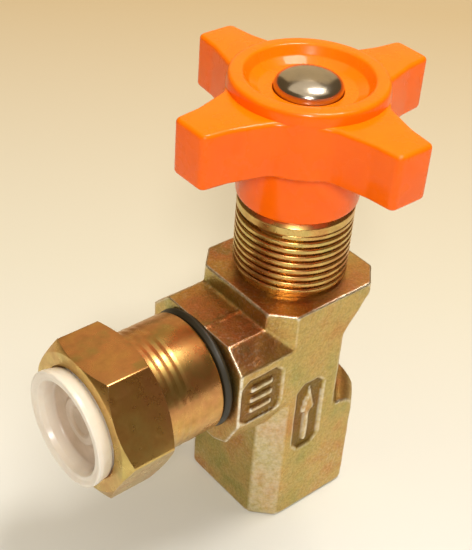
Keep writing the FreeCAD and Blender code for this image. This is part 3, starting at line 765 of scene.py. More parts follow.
@dataclass(frozen=True)
class TurnedZinc:
    """Yellow passivated zinc on turned or milled steel, with a painted copper sheen on up-facing
    surfaces.
    """

    name: str
    axis: Axis
    tint_scale: float
    tint_shift: float
    roughness: float
    ring_depth: float = 0.000008
    top_sheen_shift: float = 0.22
    variety: float = 0.85
    worn_shade: Colour = (0.80, 0.77, 0.74)
    worn_dullness: float = 0.10
    mark_scale: float = 420.0
    ring_strength: float = 0.15

    def paint(self, surface: Surface) -> None:
        """Build the material.

        Args:
            surface: material being built.
        """
        graph = surface.graph
        # Painted sheen: up-facing surfaces are shifted towards the rose-copper end of the tint.
        shift = graph.math("ADD", surface.upward(0.2, 0.95, self.top_sheen_shift), self.tint_shift)
        tint = surface.effect(
            surface.effects.passivation, Vector=surface.where, Scale=self.tint_scale,
            Strength=self.variety, Shift=shift)["Color"]
        worn = graph.mix(1.0, tint, self.worn_shade, "MULTIPLY")
        surface.wear(surface.marks(self.mark_scale)["Mask"], tint, worn,
                     self.roughness, self.roughness + self.worn_dullness)
        surface.feed({"Metallic": 1.0})
        surface.bump(surface.rings(self.axis), self.ring_strength, self.ring_depth)


@dataclass(frozen=True)
class PlainMetal:
    """Bare or plated steel, brass or aluminium."""

    name: str
    colour: Colour
    roughness: float
    axis: Axis = Axis.SPINDLE
    ring_depth: float = 0.00001
    ring_strength: float = 0.4
    worn_share: float = 0.86
    worn_dullness: float = 0.1
    mark_scale: float = 300.0

    def paint(self, surface: Surface) -> None:
        """Build the material.

        Args:
            surface: material being built.
        """
        worn = tuple(channel * self.worn_share for channel in self.colour)
        surface.wear(surface.marks(self.mark_scale)["Mask"], self.colour, worn,
                     self.roughness, self.roughness + self.worn_dullness)
        surface.feed({"Metallic": 1.0})
        surface.bump(surface.rings(self.axis), self.ring_strength, self.ring_depth)


@dataclass(frozen=True)
class OrangePlastic:
    """Smooth orange moulding with a soft gloss and a thin clear skin, with painted light on its
    tops and painted shade on its sides.
    """

    name: str = "orange plastic"
    # Painted light and shade: the top colours are the lit orange, the side colours the shaded
    # orange.
    painted_lit_top: Colour = (0.98, 0.200, 0.001)
    painted_lit_top_worn: Colour = (0.94, 0.180, 0.001)
    painted_shade_side: Colour = (1.0, 0.145, 0.001)
    painted_shade_side_worn: Colour = (0.97, 0.130, 0.001)
    gloss: float = 0.24
    dull: float = 0.32
    mark_scale: float = 140.0

    def paint(self, surface: Surface) -> None:
        """Build the material.

        Args:
            surface: material being built.
        """
        graph = surface.graph
        marks = surface.marks(self.mark_scale)
        top = graph.mix(marks["Mask"], self.painted_lit_top, self.painted_lit_top_worn)
        side = graph.mix(marks["Mask"], self.painted_shade_side, self.painted_shade_side_worn)
        rough = graph.remap(marks["Mask"], 0.0, 1.0, self.gloss, self.dull)
        # Painted light: faces that turn up get the lit top orange, the others the shaded side
        # orange.
        surface.feed({"Base Color": graph.mix(surface.upward(0.1, 0.9, 1.0), side, top),
                      "Roughness": rough, "Specular IOR Level": 0.12,
                      "Coat Weight": 0.25, "Coat Roughness": 0.06})
        surface.scatter((0.004, 0.0015, 0.0008), weight=0.08, scale=0.4)
        surface.bump(marks["Height"], strength=0.06, distance=0.0001)


@dataclass(frozen=True)
class MilkyPlastic:
    """Thin milky moulding; its floor shows the dark metal behind it."""

    name: str = "milky plastic"
    clean: Colour = (0.80, 0.72, 0.61)
    worn: Colour = (0.72, 0.63, 0.53)
    dark_clean: Colour = (0.38, 0.26, 0.16)
    dark_worn: Colour = (0.54, 0.40, 0.29)
    floor_deep: float = -0.0493
    floor_shallow: float = -0.0473
    floor_inner: float = 0.0083
    floor_outer: float = 0.0091
    roughness: float = 0.28
    mark_scale: float = 150.0

    def paint(self, surface: Surface) -> None:
        """Build the material.

        Args:
            surface: material being built.
        """
        graph = surface.graph
        along, radius = surface.cylinder(Axis.BRANCH)
        marks = surface.marks(self.mark_scale)
        deep = graph.remap(along, self.floor_deep, self.floor_shallow, 0.0, 1.0)
        inner = graph.remap(radius, self.floor_inner, self.floor_outer, 1.0, 0.0)
        pale = graph.mix(marks["Mask"], self.clean, self.worn)
        dark = graph.mix(marks["Mask"], self.dark_clean, self.dark_worn)
        behind = graph.math("MULTIPLY", deep, inner)
        surface.feed({"Base Color": graph.mix(behind, pale, dark),
                      "Roughness": self.roughness})
        surface.scatter((0.003, 0.0024, 0.0019), weight=0.35, scale=1.0)
        surface.bump(marks["Height"], strength=0.1, distance=0.00005)


@dataclass(frozen=True)
class SoftPlastic:
    """Plastic, rubber or felt with a fine grain."""

    name: str
    colour: Colour
    roughness: float
    grain_depth: float = 0.00004
    grain_strength: float = 0.3
    worn_share: float = 0.9
    worn_dullness: float = 0.08
    mark_scale: float = 220.0

    def paint(self, surface: Surface) -> None:
        """Build the material.

        Args:
            surface: material being built.
        """
        marks = surface.marks(self.mark_scale)
        worn = tuple(channel * self.worn_share for channel in self.colour)
        surface.wear(marks["Mask"], self.colour, worn,
                     self.roughness, self.roughness + self.worn_dullness)
        surface.bump(marks["Height"], self.grain_strength, self.grain_depth)


class Finish(Enum):
    """Every finish on the valve."""

    FORGED = ForgedZinc()
    BONNET = TurnedZinc("turned bonnet zinc", Axis.SPINDLE, 130.0, 0.08, 0.25)
    NUT = TurnedZinc("nut zinc", Axis.BRANCH, 60.0, 0.06, 0.27, ring_depth=0.000002,
                     top_sheen_shift=0.32, variety=0.75)
    NIPPLE = TurnedZinc("nipple zinc", Axis.BRANCH, 100.0, 0.0, 0.26)
    # Brighter metal for the nut's bevelled edges: partly worn plating, partly painted
    # highlights.
    RUBBED_EDGE_GLINT = PlainMetal("rubbed zinc edge and glint", (0.80, 0.70, 0.52), 0.30, Axis.BRANCH)
    ORANGE = OrangePlastic()
    CAP = PlainMetal("polished cap", (0.50, 0.44, 0.36), 0.17)
    STEEL = PlainMetal("bright steel", (0.60, 0.60, 0.58), 0.28)
    SPRING = PlainMetal("spring steel", (0.17, 0.16, 0.15), 0.35)
    BRASS = PlainMetal("gland brass", (0.72, 0.52, 0.20), 0.27)
    SOFT_METAL = PlainMetal("soft seal metal", (0.70, 0.70, 0.71), 0.34, Axis.BRANCH)
    RUBBER = SoftPlastic("black rubber", (0.028, 0.022, 0.011), 0.42)
    PACKING = SoftPlastic("white packing", (0.80, 0.79, 0.75), 0.45)
    FELT = SoftPlastic("wiper felt", (0.09, 0.085, 0.08), 0.9, grain_depth=0.0003)
    MILKY = MilkyPlastic()


class Workshop:
    """Keeps the finished materials and puts pieces on their bodies."""

    def __init__(self) -> None:
        """Build the shared groups and an empty store of materials."""
        self.effects = Effects()
        self._made: dict[Finish, Material] = {}

    def material(self, finish: Finish) -> Material:
        """Give a finish's material, built once.

        Args:
            finish: finish that is wanted.

        Returns:
            Its material.
        """
        if finish not in self._made:
            surface = Surface(finish.value.name, self.effects)
            finish.value.paint(surface)
            self._made[finish] = surface.material
        return self._made[finish]

    def dress(self, thing: Thing, *finishes: Finish) -> None:
        """Give an object its finishes in the order of its material slots.

        Args:
            thing: object to dress.
            finishes: its finishes; one covers it all over.
        """
        thing.data.materials.clear()
        for finish in finishes:
            thing.data.materials.append(self.material(finish))

    def fit(self, thing: Thing, body: BodyName, slot: str, *nodes: str) -> None:
        """Put a dressed piece on its body and hide the CAD nodes that it is shown in place of.

        Args:
            thing: the piece.
            body: CAD body that it rides on.
            slot: not used.
            nodes: CAD nodes that it is shown in place of.
        """
        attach(thing, body.value)
        if nodes:
            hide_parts(*nodes)
        log.info("%s rides on %s, %d faces", thing.name, body.value, len(thing.data.polygons))


@dataclass(frozen=True)
class ThreadSizes:
    """Sizes of one helical ridge, mm, and its number of turns.

    A negative depth points the ridge inwards, for the thread of a bore.
    """

    radius: float
    pitch: float
    turns: float
    start: float
    base: float
    crest: float
    depth: float
    rounding: float


@dataclass
class ThreadMaker:
    """Sweeps a ridge along a helix with Geometry Nodes, for screw threads."""

    shop: Workshop
    steps_per_turn: int = 96
    corner_steps: int = 3
    sharp_degrees: float = 40.0

    def __post_init__(self) -> None:
        """Build the node tree that every thread uses."""
        self.tree = self._build()

    def _build(self) -> NodeTree:
        """Build the tree: spiral, section, sweep, lift, realise, material.

        Returns:
            The tree.
        """
        tree = bpy.data.node_groups.new("helical thread", "GeometryNodeTree")
        face = tree.interface
        face.new_socket("Geometry", in_out="OUTPUT", socket_type="NodeSocketGeometry")
        for label in ThreadSizes.__dataclass_fields__:
            face.new_socket(label.title(), in_out="INPUT", socket_type=FLOAT)
        face.new_socket("Material", in_out="INPUT", socket_type="NodeSocketMaterial")
        graph = Graph(tree)
        given = graph.add("NodeGroupInput", {}).outputs
        spiral = graph.add("GeometryNodeCurveSpiral", {
            "Resolution": self.steps_per_turn, "Rotations": given["Turns"],
            "Start Radius": given["Radius"], "End Radius": given["Radius"],
            "Height": graph.math("MULTIPLY", given["Pitch"], given["Turns"])})
        path = graph.add("GeometryNodeSetCurveNormal", {"Curve": spiral.outputs[0]}, mode="Z_UP")
        outward = graph.math("MULTIPLY", given["Depth"], -1.0)
        outline = (
            (0.0, given["Base"], -0.5), (outward, given["Crest"], -0.5),
            (outward, given["Crest"], 0.5), (0.0, given["Base"], 0.5))
        corners = {}
        for number, (across, width, share) in enumerate(outline, start=1):
            up = graph.math("MULTIPLY", width, share)
            corner = graph.add("ShaderNodeCombineXYZ", {0: across, 1: up})
            corners[f"Point {number}"] = corner.outputs[0]
        section = graph.add("GeometryNodeCurvePrimitiveQuadrilateral", {}, mode="POINTS")
        graph.feed(section, corners)
        soft = graph.add("GeometryNodeFilletCurve", {"Curve": section.outputs[0]}, mode="POLY")
        graph.feed(soft, {"Count": self.corner_steps, "Limit Radius": True,
                          "Radius": given["Rounding"]})
        sweep = graph.add("GeometryNodeCurveToMesh", {
            "Curve": path.outputs[0], "Profile Curve": soft.outputs[0], "Fill Caps": True})
        rise = graph.add("ShaderNodeCombineXYZ", {2: given["Start"]})
        lift = graph.add("GeometryNodeTransform", {
            "Geometry": sweep.outputs[0], "Translation": rise.outputs[0]})
        solid = graph.add("GeometryNodeRealizeInstances", {0: lift.outputs[0]})
        coated = graph.add("GeometryNodeSetMaterial", {
            "Geometry": solid.outputs[0], "Material": given["Material"]})
        graph.add("NodeGroupOutput", {0: coated.outputs[0]})
        return tree

    def cut(self, name: str, finish: Finish, axis: Axis, sizes: ThreadSizes) -> Thing:
        """Make one thread as a plain mesh.

        Args:
            name: name of the new object.
            finish: finish of the thread.
            axis: line that it runs round.
            sizes: its sizes.

        Returns:
            The dressed thread, not yet on a body.
        """
        holder = bpy.data.objects.new(f"{name}_maker", bpy.data.meshes.new(f"{name}_maker"))
        bpy.context.scene.collection.objects.link(holder)
        modifier = holder.modifiers.new("thread", "NODES")
        modifier.node_group = self.tree
        values = {label.title(): value * MM for label, value in asdict(sizes).items()}
        values["Turns"] = float(sizes.turns)
        values["Material"] = self.shop.material(finish)
        for item in self.tree.interface.items_tree:
            if item.in_out == "INPUT":
                modifier[item.identifier] = values[item.name]
        mesh = plain_mesh(holder)
        bpy.data.objects.remove(holder)
        if axis is Axis.BRANCH:
            mesh.transform(Matrix.Translation((0, 0, BRANCH_HEIGHT * MM))
                           @ Matrix.Rotation(-math.pi / 2, 4, "Y"))
        shape = bmesh.new()
        shape.from_mesh(mesh)
        thread = finish_mesh(name, shape, self.sharp_degrees)
        self.shop.dress(thread, finish)
        return thread


@dataclass
class ForgedBody:
    """The forged body with its recessed marks, and its port thread."""

    shop: Workshop
    threads: ThreadMaker
    cell: float = 0.37
    relax_factor: float = 0.5
    relax_passes: int = 2
    wave: float = 0.10
    wave_pitch: float = 0.33
    pitting: float = 0.02
    pit_pitch: float = 1.6
    bulge_start: float = 0.055
    bulge_full: float = 0.15
    shortest_edge: float = 1e-7
    ground_top: float = 31.0
    ground_facing: float = 0.97
    ground_wear: float = 0.42
    bore_radius: float = 10.9
    base_skin: float = 0.4
    flange_skin: float = 52.9
    branch_root: float = -11.0
    branch_bore: float = 10.0
    branch_skin: float = -21.6
    branch_smoothness: float = 0.8
    boss_top: float = 20.0
    boss_front: float = -12.6
    boss_smoothness: float = 0.35
    ridge_floor: float = 49.0
    ridge_start: float = -22.2
    ridge_end: float = -13.6
    ridge_at: float = -2.0
    ridge_half: float = 0.40
    ridge_rise: float = 0.34
    ridge_drift: float = 0.12
    ridge_drift_pitch: float = 1.9
    sharp_degrees: float = 180.0
    port_thread: ThreadSizes = ThreadSizes(
        radius=8.35, pitch=1.337, turns=9.0, start=0.9, base=1.25, crest=0.25, depth=-0.78,
        rounding=0.12)

    def _machined(self, where: Vector) -> float:
        """Give how far a place is machined smooth.

        Args:
            where: the place, mm.

        Returns:
            1 on bores and end faces, 0 on the forged skin.
        """
        x, y, z = where
        if math.hypot(x, y) < self.bore_radius or z > self.flange_skin or z < self.base_skin:
            return 1.0
        if x < self.branch_root and math.hypot(y, z - BRANCH_HEIGHT) < self.branch_bore:
            return 1.0
        if x < self.branch_skin:
            return self.branch_smoothness
        return self.boss_smoothness if z < self.boss_top and y > self.boss_front else 0.0

    def _rise(self, where: Vector) -> float:
        """Give how far the skin stands out at a place, for waves, pits and parting ridge.

        Args:
            where: the place, mm.

        Returns:
            The rise along the skin's normal, mm.
        """
        x, y, z = where
        rise = self.wave * noise.noise(where * self.wave_pitch)
        rise += self.pitting * noise.noise(where * self.pit_pitch)
        rise *= 1.0 - self._machined(where)
        if z > self.ridge_floor and self.ridge_start < x < self.ridge_end:
            drift = self.ridge_drift * math.sin(x * self.ridge_drift_pitch)
            away = abs(y - self.ridge_at - drift) / self.ridge_half
            if away < 1:
                rise += self.ridge_rise * (1 - away * away)
        return rise

    def _forge(self, thing: Thing) -> None:
        """Move the skin to its waves, pits and parting ridge.

        Args:
            thing: the remeshed body.
        """
        corners = thing.data.vertices
        shifts = [corner.normal * self._rise(corner.co * PER_METRE) * MM for corner in corners]
        for corner, shift in zip(corners, shifts):
            corner.co += shift

    def _mark_edges(self, thing: Thing) -> None:
        """Store the rubbed edges, which also carry painted highlights, and the corner of the
        boss that was ground after forging.

        Args:
            thing: the remeshed body.
        """
        mesh = thing.data
        bulge = [0.0] * len(mesh.vertices)
        share = [0] * len(mesh.vertices)
        for edge in mesh.edges:
            first, second = (mesh.vertices[index] for index in edge.vertices)
            along = second.co - first.co
            length = max(along.length, self.shortest_edge)
            for here, sign in ((first, -1.0), (second, 1.0)):
                bulge[here.index] += sign * along.dot(here.normal) / length
                share[here.index] += 1
        layer = mesh.attributes.new(EDGE_LAYER, "FLOAT", "POINT")
        ground = Vector((-1.0, -1.0, 0.0)).normalized()
        span = self.bulge_full - self.bulge_start
        values = []
        for vertex, total, count in zip(mesh.vertices, bulge, share):
            wear = min(max((total / max(count, 1) - self.bulge_start) / span, 0.0), 1.0)
            facing = vertex.normal.dot(ground) > self.ground_facing
            if facing and vertex.co.z < self.ground_top * MM:
                wear = max(wear, self.ground_wear)
            values.append(wear)
        layer.data.foreach_set("value", values)

    def build(self) -> None:
        """Build the body and the thread of its bottom port."""
        forging = cad_copy("forged_body", "body")
        remesh = forging.modifiers.new("skin", "REMESH")
        remesh.mode = "VOXEL"
        remesh.voxel_size = self.cell * MM
        relax = forging.modifiers.new("relax", "SMOOTH")
        relax.factor = self.relax_factor
        relax.iterations = self.relax_passes
        apply_modifiers(forging)
        self._mark_edges(forging)
        self._forge(forging)
        shade(forging.data, self.sharp_degrees)
        self.shop.dress(forging, Finish.FORGED)
        self.shop.fit(forging, BodyName.VALVE, "forged_body", "body")
        thread = self.threads.cut("port_thread", Finish.FORGED, Axis.SPINDLE, self.port_thread)
        self.shop.fit(thread, BodyName.VALVE, "forged_body")


@dataclass
class Bonnet:
    """The turned bonnet with its long outer thread, and the packing's bore inside it."""

    shop: Workshop
    threads: ThreadMaker
    segments: int = 144
    profile: tuple[Corner, ...] = (
        (5.05, 41.0, 0), (8.95, 41.0, 0.3), (8.95, 49.6, 0), (7.3, 49.6, 0),
        (7.3, 51.9, 0), (8.95, 51.9, 0), (8.95, 53.3, 0), (10.1, 53.3, 0.1),
        (10.1, 54.2, 0.1), (10.25, 54.4, 0), (10.25, 66.6, 0),
        (11.0, 67.7, 0.2), (11.0, 69.1, 0.35),
        (10.25, 69.9, 0.25), (7.5, 69.9, 0), (7.5, 56.0, 0), (5.05, 56.0, 0),
    )
    thread: ThreadSizes = ThreadSizes(
        radius=10.22, pitch=1.5, turns=8.4, start=54.6, base=1.40, crest=0.82, depth=0.75,
        rounding=0.30)

    def build(self) -> None:
        """Build the bonnet's core and its helical thread."""
        core = lathe("bonnet_core", Axis.SPINDLE, rounded(self.profile), self.segments)
        self.shop.dress(core, Finish.BONNET)
        self.shop.fit(core, BodyName.VALVE, "bonnet_steel", "bonnet")
        thread = self.threads.cut("bonnet_thread", Finish.BONNET, Axis.SPINDLE, self.thread)
        self.shop.fit(thread, BodyName.VALVE, "bonnet_steel")


@dataclass
class Handle:
    """The four-arm handle with its raised rim, and the polished cap in its middle."""

    shop: Workshop
    arms: int = 4
    reach: float = 26.0
    low: float = 81.3
    high: float = 91.8
    edge_round: float = 0.85
    edge_steps: int = 5
    corner_steps: int = 6
    hub_segments: int = 160
    segments: int = 96
    sharp_degrees: float = 40.0
    valley: float = 10.1
    outline: tuple[Corner, ...] = (
        (26.0, -3.94, 0.0), (26.0, 3.94, 1.5), (20.6, 4.55, 6.0), (13.6, 6.6, 3.2),
        (6.6, 13.6, 3.2), (4.55, 20.6, 6.0), (-3.94, 26.0, 0.0),
    )
    hub: tuple[Corner, ...] = (
        (7.0, 70.2, 0.2), (11.4, 70.2, 0.9), (11.4, 80.9, 0.5), (12.4, 81.3, 0.4),
        (14.75, 81.3, 0.8), (14.35, 91.0, 0), (14.35, 91.85, 0.5), (14.05, 94.0, 1.0),
        (11.55, 94.0, 0.9), (10.4, 92.2, 0.9), (8.6, 91.2, 1.0), (6.2, 91.2, 0.3),
        (6.2, 85.6, 0), (8.0, 85.6, 0), (8.0, 77.0, 0), (9.4, 77.0, 0), (9.4, 74.0, 0),
        (8.0, 74.0, 0), (8.0, 70.6, 0), (7.0, 70.6, 0),
    )
    well: tuple[Point, ...] = (
        (0, 71.0), (8.1, 71.0), (8.1, 73.9), (9.5, 73.9), (9.5, 77.1), (8.1, 77.1),
        (8.1, 90.6), (13.2, 90.6), (13.2, 96.0), (0, 96.0),
    )
    crown_radius: float = 6.1
    crown_foot: float = 91.5
    crown_low: float = 91.8
    crown_rise: float = 2.5
    crown_steps: int = 14
    cap_skirt: tuple[Point, ...] = ((5.3, 88.2), (6.1, 88.2))
    cap_inside: tuple[Point, ...] = ((0, 94.3), (0, 93.5), (3.4, 93.1), (5.3, 91.9))

    def _star(self) -> list[Vector]:
        """Draw the outline of all four arms.

        Returns:
            The outline, anticlockwise from the middle of the +X arm's end, mm.
        """
        path = rounded(self.outline, self.corner_steps)
        eighth = [Vector((self.reach, 0.0))]
        eighth += [Vector(point) for point in path[1:]
                   if point[0] > point[1] + TINY and point[1] > 0]
        eighth.append(Vector((self.valley, self.valley)))
        quarter = eighth + [Vector((p.y, p.x)) for p in reversed(eighth[1:-1])]
        star = []
        for turn in range(self.arms):
            angle = math.tau * turn / self.arms
            cosine, sine = math.cos(angle), math.sin(angle)
            star += [Vector((p.x * cosine - p.y * sine, p.x * sine + p.y * cosine))
                     for p in quarter]
        return star

    @staticmethod
    def _inset(outline: Sequence[Vector], distance: float) -> list[Vector]:
        """Move a closed outline inwards along its normals.

        Args:
            outline: anticlockwise corners.
            distance: how far its sides move.

        Returns:
            The moved corners.
        """
        least_lean = 0.5
        result = []
        for index, here in enumerate(outline):
            first = (here - outline[index - 1]).normalized()
            second = (outline[(index + 1) % len(outline)] - here).normalized()
            along = (first + second).normalized()
            inward = Vector((-along.y, along.x))
            lean = max(inward.dot(Vector((-first.y, first.x))), least_lean)
            result.append(here + inward * distance / lean)
        return result

    def _arms(self) -> Thing:
        """Build the arms as stacked outlines with rounded top and bottom edges.

        Returns:
            The arms, solid through the middle.
        """
        star = self._star()
        levels = []
        for step in range(self.edge_steps + 1):
            turn = math.pi / 2 * step / self.edge_steps
            levels.append((self.edge_round * (1 - math.sin(turn)),
                           self.low + self.edge_round * (1 - math.cos(turn))))
        levels += [(inset, self.high - (height - self.low))
                   for inset, height in reversed(levels)]
        shape = bmesh.new()
        rings = []
        for inset, height in levels:
            rings.append([shape.verts.new(Vector((p.x, p.y, height)) * MM)
                          for p in self._inset(star, inset)])
        for low, high in zip(rings, rings[1:]):
            bridge(shape, low, high)
        shape.faces.new(list(reversed(rings[0])))
        shape.faces.new(rings[-1])
        return finish_mesh("arms", shape)

    def build(self) -> None:
        """Join the arms to the hub, and build the cap."""
        handle = self._arms()
        hub = lathe("hub", Axis.SPINDLE, rounded(self.hub), self.hub_segments)
        well = lathe("well", Axis.SPINDLE, self.well, self.segments)
        combine(handle, well, "DIFFERENCE")
        combine(handle, hub, "UNION")
        handle.name = "star_handle"
        shade(handle.data, self.sharp_degrees)
        self.shop.dress(handle, Finish.ORANGE)
        self.shop.fit(handle, BodyName.SPINDLE, "orange_plastic", "handle")
        crown = [(self.crown_radius, self.crown_foot)]
        for step in range(self.crown_steps):
            turn = math.pi / 2 * step / self.crown_steps
            crown.append((self.crown_radius * math.cos(turn),
                          self.crown_low + self.crown_rise * math.sin(turn)))
        cap = lathe("cap", Axis.SPINDLE, [*self.cap_skirt, *crown, *self.cap_inside],
                    self.segments)
        self.shop.dress(cap, Finish.CAP)
        self.shop.fit(cap, BodyName.SPINDLE, "cap_steel", "dome_cap")


@dataclass
class Outlet:
    """The swivel nut, its dust ring and the plug in its mouth."""

    shop: Workshop
    threads: ThreadMaker
    flats: float = 27.0
    hexagon_turn: float = 1.7
    hexagon_round: float = 0.65
    hexagon_ends: tuple[float, float] = (20.0, 52.0)
    ripples: tuple[float, ...] = (31.6, 33.2, 34.8)
    ripple_half: float = 0.7
    ripple_floor: float = 11.77
    skirt_radius: float = 11.85
    ripple_round: float = 0.5
    nut_back: tuple[Corner, ...] = ((9.0, 24.3, 0.2), (11.85, 24.3, 0.5))
    nut_front: tuple[Corner, ...] = (
        (11.85, 37.0, 0.4), (13.4, 37.1, 0.2), (16.2, 38.7, 0), (16.2, 46.28, 0),
        (13.5, 47.9, 0.3), (10.95, 47.9, 0.2), (10.19, 47.2, 0.1), (10.19, 37.6, 0),
        (10.3, 37.6, 0), (10.3, 31.1, 0), (9.0, 31.1, 0),
    )
    nut_segments: int = 192
    corner_steps: int = 4
    ring_steps: int = 6
    edge_width: float = 0.30
    edge_steps: int = 3
    edge_degrees: float = 24.0
    thread: ThreadSizes = ThreadSizes(
        radius=10.22, pitch=1.5, turns=5.4, start=38.4, base=0.5, crest=0.2, depth=-0.07,
        rounding=0.0)
    ring: tuple[Corner, ...] = (
        (10.3, 22.0, 0.3), (11.4, 22.0, 0.5), (12.0, 22.7, 0.5), (12.0, 23.1, 0.5),
        (11.4, 23.8, 0.5), (10.3, 23.8, 0.3),
    )
    plug: tuple[Corner, ...] = (
        (8.8, 43.2, 0.4), (10.1, 43.2, 0.5), (10.1, 47.95, 0.15), (10.7, 47.95, 0.4),
        (11.15, 50.1, 0.5), (11.15, 51.0, 0.45), (10.6, 51.0, 0.3), (9.9, 50.75, 0.3),
        (9.2, 50.7, 0.35), (8.75, 49.6, 0.5), (8.55, 47.6, 0.7), (5.0, 47.35, 0.5),
        (4.4, 47.75, 0.4), (3.2, 47.75, 0.4), (2.6, 47.35, 0.5), (0, 47.35, 0),
        (0, 46.4, 0), (8.8, 46.4, 0.3),
    )

    def _prism(self) -> Thing:
        """Build a long hexagonal bar with rounded corners, to cut the nut with.

        Returns:
            The bar.
        """
        sides = 6
        across = self.flats / 2 / math.cos(math.pi / sides)
        outline = []
        for side in range(sides):
            angle = math.radians(360 / sides * side + self.hexagon_turn)
            outline.append((across * math.cos(angle), across * math.sin(angle),
                            self.hexagon_round))
        shape = bmesh.new()
        ends = []
        for along in self.hexagon_ends:
            ends.append([
                shape.verts.new(Vector((-along, -y, BRANCH_HEIGHT + z)) * MM)
                for y, z in rounded(outline, self.corner_steps)])
        bridge(shape, *ends)
        shape.faces.new(ends[0])
        shape.faces.new(list(reversed(ends[1])))
        return finish_mesh("hexagon", shape)

    def _nut(self) -> Thing:
        """Build the nut as a turned blank cut by a hexagonal bar, with rubbed edges that also
        carry painted highlights.

        Returns:
            The dressed nut.
        """
        ripple = []
        for middle in self.ripples:
            for radius, along in ((self.skirt_radius, middle - self.ripple_half),
                                  (self.ripple_floor, middle),
                                  (self.skirt_radius, middle + self.ripple_half)):
                ripple.append((radius, along, self.ripple_round))
        nut = lathe("union_nut", Axis.BRANCH,
                    rounded([*self.nut_back, *ripple, *self.nut_front], self.corner_steps),
                    self.nut_segments)
        combine(nut, self._prism(), "INTERSECT")
        self.shop.dress(nut, Finish.NUT, Finish.RUBBED_EDGE_GLINT)
        bevel = nut.modifiers.new("edges", "BEVEL")
        bevel.width = self.edge_width * MM
        bevel.segments = self.edge_steps
        bevel.use_clamp_overlap = True
        bevel.harden_normals = False
        bevel.limit_method = "ANGLE"
        bevel.angle_limit = math.radians(self.edge_degrees)
        # The bevels get the brighter edge metal: partly worn plating, partly painted highlights.
        bevel.material = list(nut.data.materials).index(self.shop.material(Finish.RUBBED_EDGE_GLINT))
        apply_modifiers(nut)
        shade(nut.data)
        return nut

    def build(self) -> None:
        """Build the nut with its inner thread, the ring and the plug."""
        self.shop.fit(self._nut(), BodyName.NUT, "nut_steel", "swivel_nut")
        thread = self.threads.cut("nut_thread", Finish.NUT, Axis.BRANCH, self.thread)
        self.shop.fit(thread, BodyName.NUT, "nut_steel")
        ring = lathe("dust_seal", Axis.BRANCH, rounded(self.ring, self.ring_steps))
        self.shop.dress(ring, Finish.RUBBER)
        self.shop.fit(ring, BodyName.VALVE, "black_rubber", "dust_ring")
        plug = lathe("mouth_plug", Axis.BRANCH, rounded(self.plug))
        self.shop.dress(plug, Finish.MILKY)
        self.shop.fit(plug, BodyName.PLUG, "milky_plastic", "protective_plug")


@dataclass
class Internals:
    """The carried-over CAD pieces, which only need their finishes."""

    shop: Workshop
    finishes: tuple[tuple[Finish, tuple[str, ...]], ...] = (
        (Finish.STEEL, ("seat_insert", "packing_washer", "packing_follower", "needle", "spindle",
                        "handle_insert", "handle_washer", "handle_screw")),
        (Finish.RUBBER, ("bonnet_o_ring", "cone_o_ring")),
        (Finish.PACKING, ("lower_packing_ring", "upper_packing_ring")),
        (Finish.BRASS, ("gland_nut",)),
        (Finish.FELT, ("wiper_ring",)),
        (Finish.SOFT_METAL, ("nipple_seal",)),
        (Finish.NIPPLE, ("nipple",)),
        (Finish.SPRING, ("needle_retaining_ring",)),
    )

    def build(self) -> None:
        """Dress each carried-over node."""
        for finish, nodes in self.finishes:
            for node in nodes:
                self.shop.dress(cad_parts[node], finish)
                log.info("%s keeps its CAD shape, %s", node, finish.name.lower())


@dataclass(frozen=True)
class Lamp:
    """One square soft light aimed at the middle of the valve."""

    name: str
    place: Corner
    size: float
    energy: float
    colour: Colour
    aim: Corner = (0.0, 0.0, 0.045)

    def build(self) -> None:
        """Add the light to the scene."""
        data = bpy.data.lights.new(self.name, "AREA")
        data.shape = "SQUARE"
        data.size = self.size
        data.energy = self.energy
        data.color = self.colour
        lamp = bpy.data.objects.new(self.name, data)
        lamp.location = self.place
        towards = Vector(self.aim) - Vector(self.place)
        lamp.rotation_euler = towards.to_track_quat("-Z", "Y").to_euler()
        bpy.context.scene.collection.objects.link(lamp)


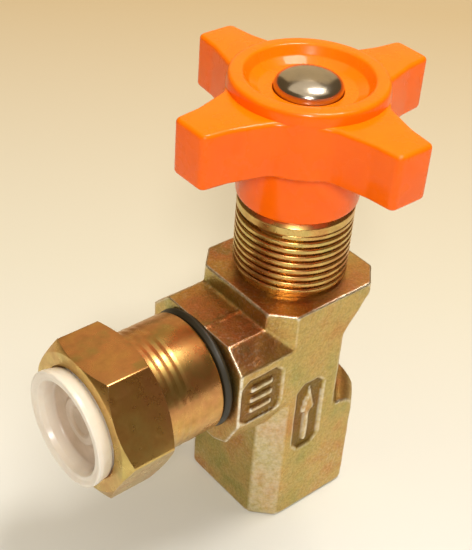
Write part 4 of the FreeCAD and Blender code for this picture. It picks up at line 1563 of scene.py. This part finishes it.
@dataclass
class Studio:
    """Floor, lights, surroundings and camera."""

    shop: Workshop
    lens: float = 76.1
    sensor: float = 36.0
    nearest: float = 0.01
    farthest: float = 20.0
    azimuth: float = -41.96
    elevation: float = 37.26
    roll: float = 4.445
    position: Corner = (-126.79, -126.18, 185.70)
    floor_reach: float = 6.0
    floor_near: float = -0.08
    floor_far: float = 0.24
    # Painted light falloff: the floor colour darkens and warms away from the camera.
    floor_falloff_colours: tuple[tuple[float, Colour], ...] = (
        (0.0, (0.77, 0.80, 0.82)), (0.45, (0.70, 0.66, 0.54)), (1.0, (0.63, 0.49, 0.29)))
    lamps: tuple[Lamp, ...] = (
        Lamp("overhead soft light", (0.16, -0.08, 0.74), 0.22, 3.2, (1.0, 0.97, 0.91)),
        Lamp("near soft light", (-0.50, -0.56, 0.66), 0.15, 5.4, (1.0, 0.99, 0.96)),
        Lamp("far wall", (0.70, 0.80, 0.62), 1.10, 2.2, (1.0, 0.78, 0.46)),
        Lamp("ceiling", (0.0, 0.0, 1.30), 1.60, 6.5, (1.0, 0.90, 0.72)),
    )
    world_colour: Colour = (1.0, 0.70, 0.36)
    world_strength: float = 0.16

    def floor(self) -> None:
        """Lay a large pale floor under the valve, with painted light falloff: darker and warmer
        towards the back.
        """
        shape = bmesh.new()
        shape.faces.new([shape.verts.new((x * self.floor_reach, y * self.floor_reach, 0.0))
                         for x, y in ((-1, -1), (1, -1), (1, 1), (-1, 1))])
        ground = finish_mesh("floor", shape)
        surface = Surface("floor card", self.shop.effects)
        graph = surface.graph
        azimuth = math.radians(self.azimuth)
        backwards = (-math.sin(azimuth), math.cos(azimuth), 0.0)
        away = graph.add("ShaderNodeVectorMath", {0: surface.where, 1: backwards},
                         operation="DOT_PRODUCT")
        share = graph.remap(away.outputs["Value"], self.floor_near, self.floor_far, 0.0, 1.0)
        # Painted light falloff along the direction away from the camera.
        surface.feed({"Base Color": graph.ramp(share, self.floor_falloff_colours),
                      "Roughness": 0.8, "Specular IOR Level": 0.2})
        ground.data.materials.append(surface.material)

    def surroundings(self) -> None:
        """Set up the dim warm surroundings."""
        world = bpy.data.worlds.new("surroundings")
        bpy.context.scene.world = world
        world.use_nodes = True
        graph = Graph(world.node_tree)
        graph.feed(world.node_tree.nodes["Background"],
                   {"Color": self.world_colour, "Strength": self.world_strength})

    def camera(self) -> None:
        """Set up the camera."""
        azimuth, elevation, roll = (
            math.radians(angle) for angle in (self.azimuth, self.elevation, self.roll))
        back = Vector((math.sin(azimuth) * math.cos(elevation),
                       -math.cos(azimuth) * math.cos(elevation), math.sin(elevation)))
        right = Vector((math.cos(azimuth), math.sin(azimuth), 0.0))
        up = back.cross(right)
        turned_right = right * math.cos(roll) + up * math.sin(roll)
        turned_up = up * math.cos(roll) - right * math.sin(roll)
        data = bpy.data.cameras.new("camera")
        data.lens = self.lens
        data.sensor_width = self.sensor
        data.clip_start = self.nearest
        data.clip_end = self.farthest
        camera = bpy.data.objects.new("camera", data)
        matrix = Matrix((turned_right, turned_up, back)).transposed().to_4x4()
        matrix.translation = Vector(self.position) * MM
        camera.matrix_world = matrix
        bpy.context.scene.collection.objects.link(camera)
        bpy.context.scene.camera = camera

    def build(self) -> None:
        """Build the whole studio."""
        self.floor()
        for lamp in self.lamps:
            lamp.build()
        self.surroundings()
        self.camera()
        bpy.context.scene.view_settings.view_transform = "Standard"


def main() -> None:
    """Build the valve piece by piece, then the studio round it."""
    shop = Workshop()
    threads = ThreadMaker(shop)
    assemblies = [
        ForgedBody(shop, threads), Bonnet(shop, threads), Handle(shop),
        Outlet(shop, threads), Internals(shop), Studio(shop),
    ]
    for assembly in assemblies:
        log.info("building %s", type(assembly).__name__)
        assembly.build()


if __name__ == "__main__":
    main()
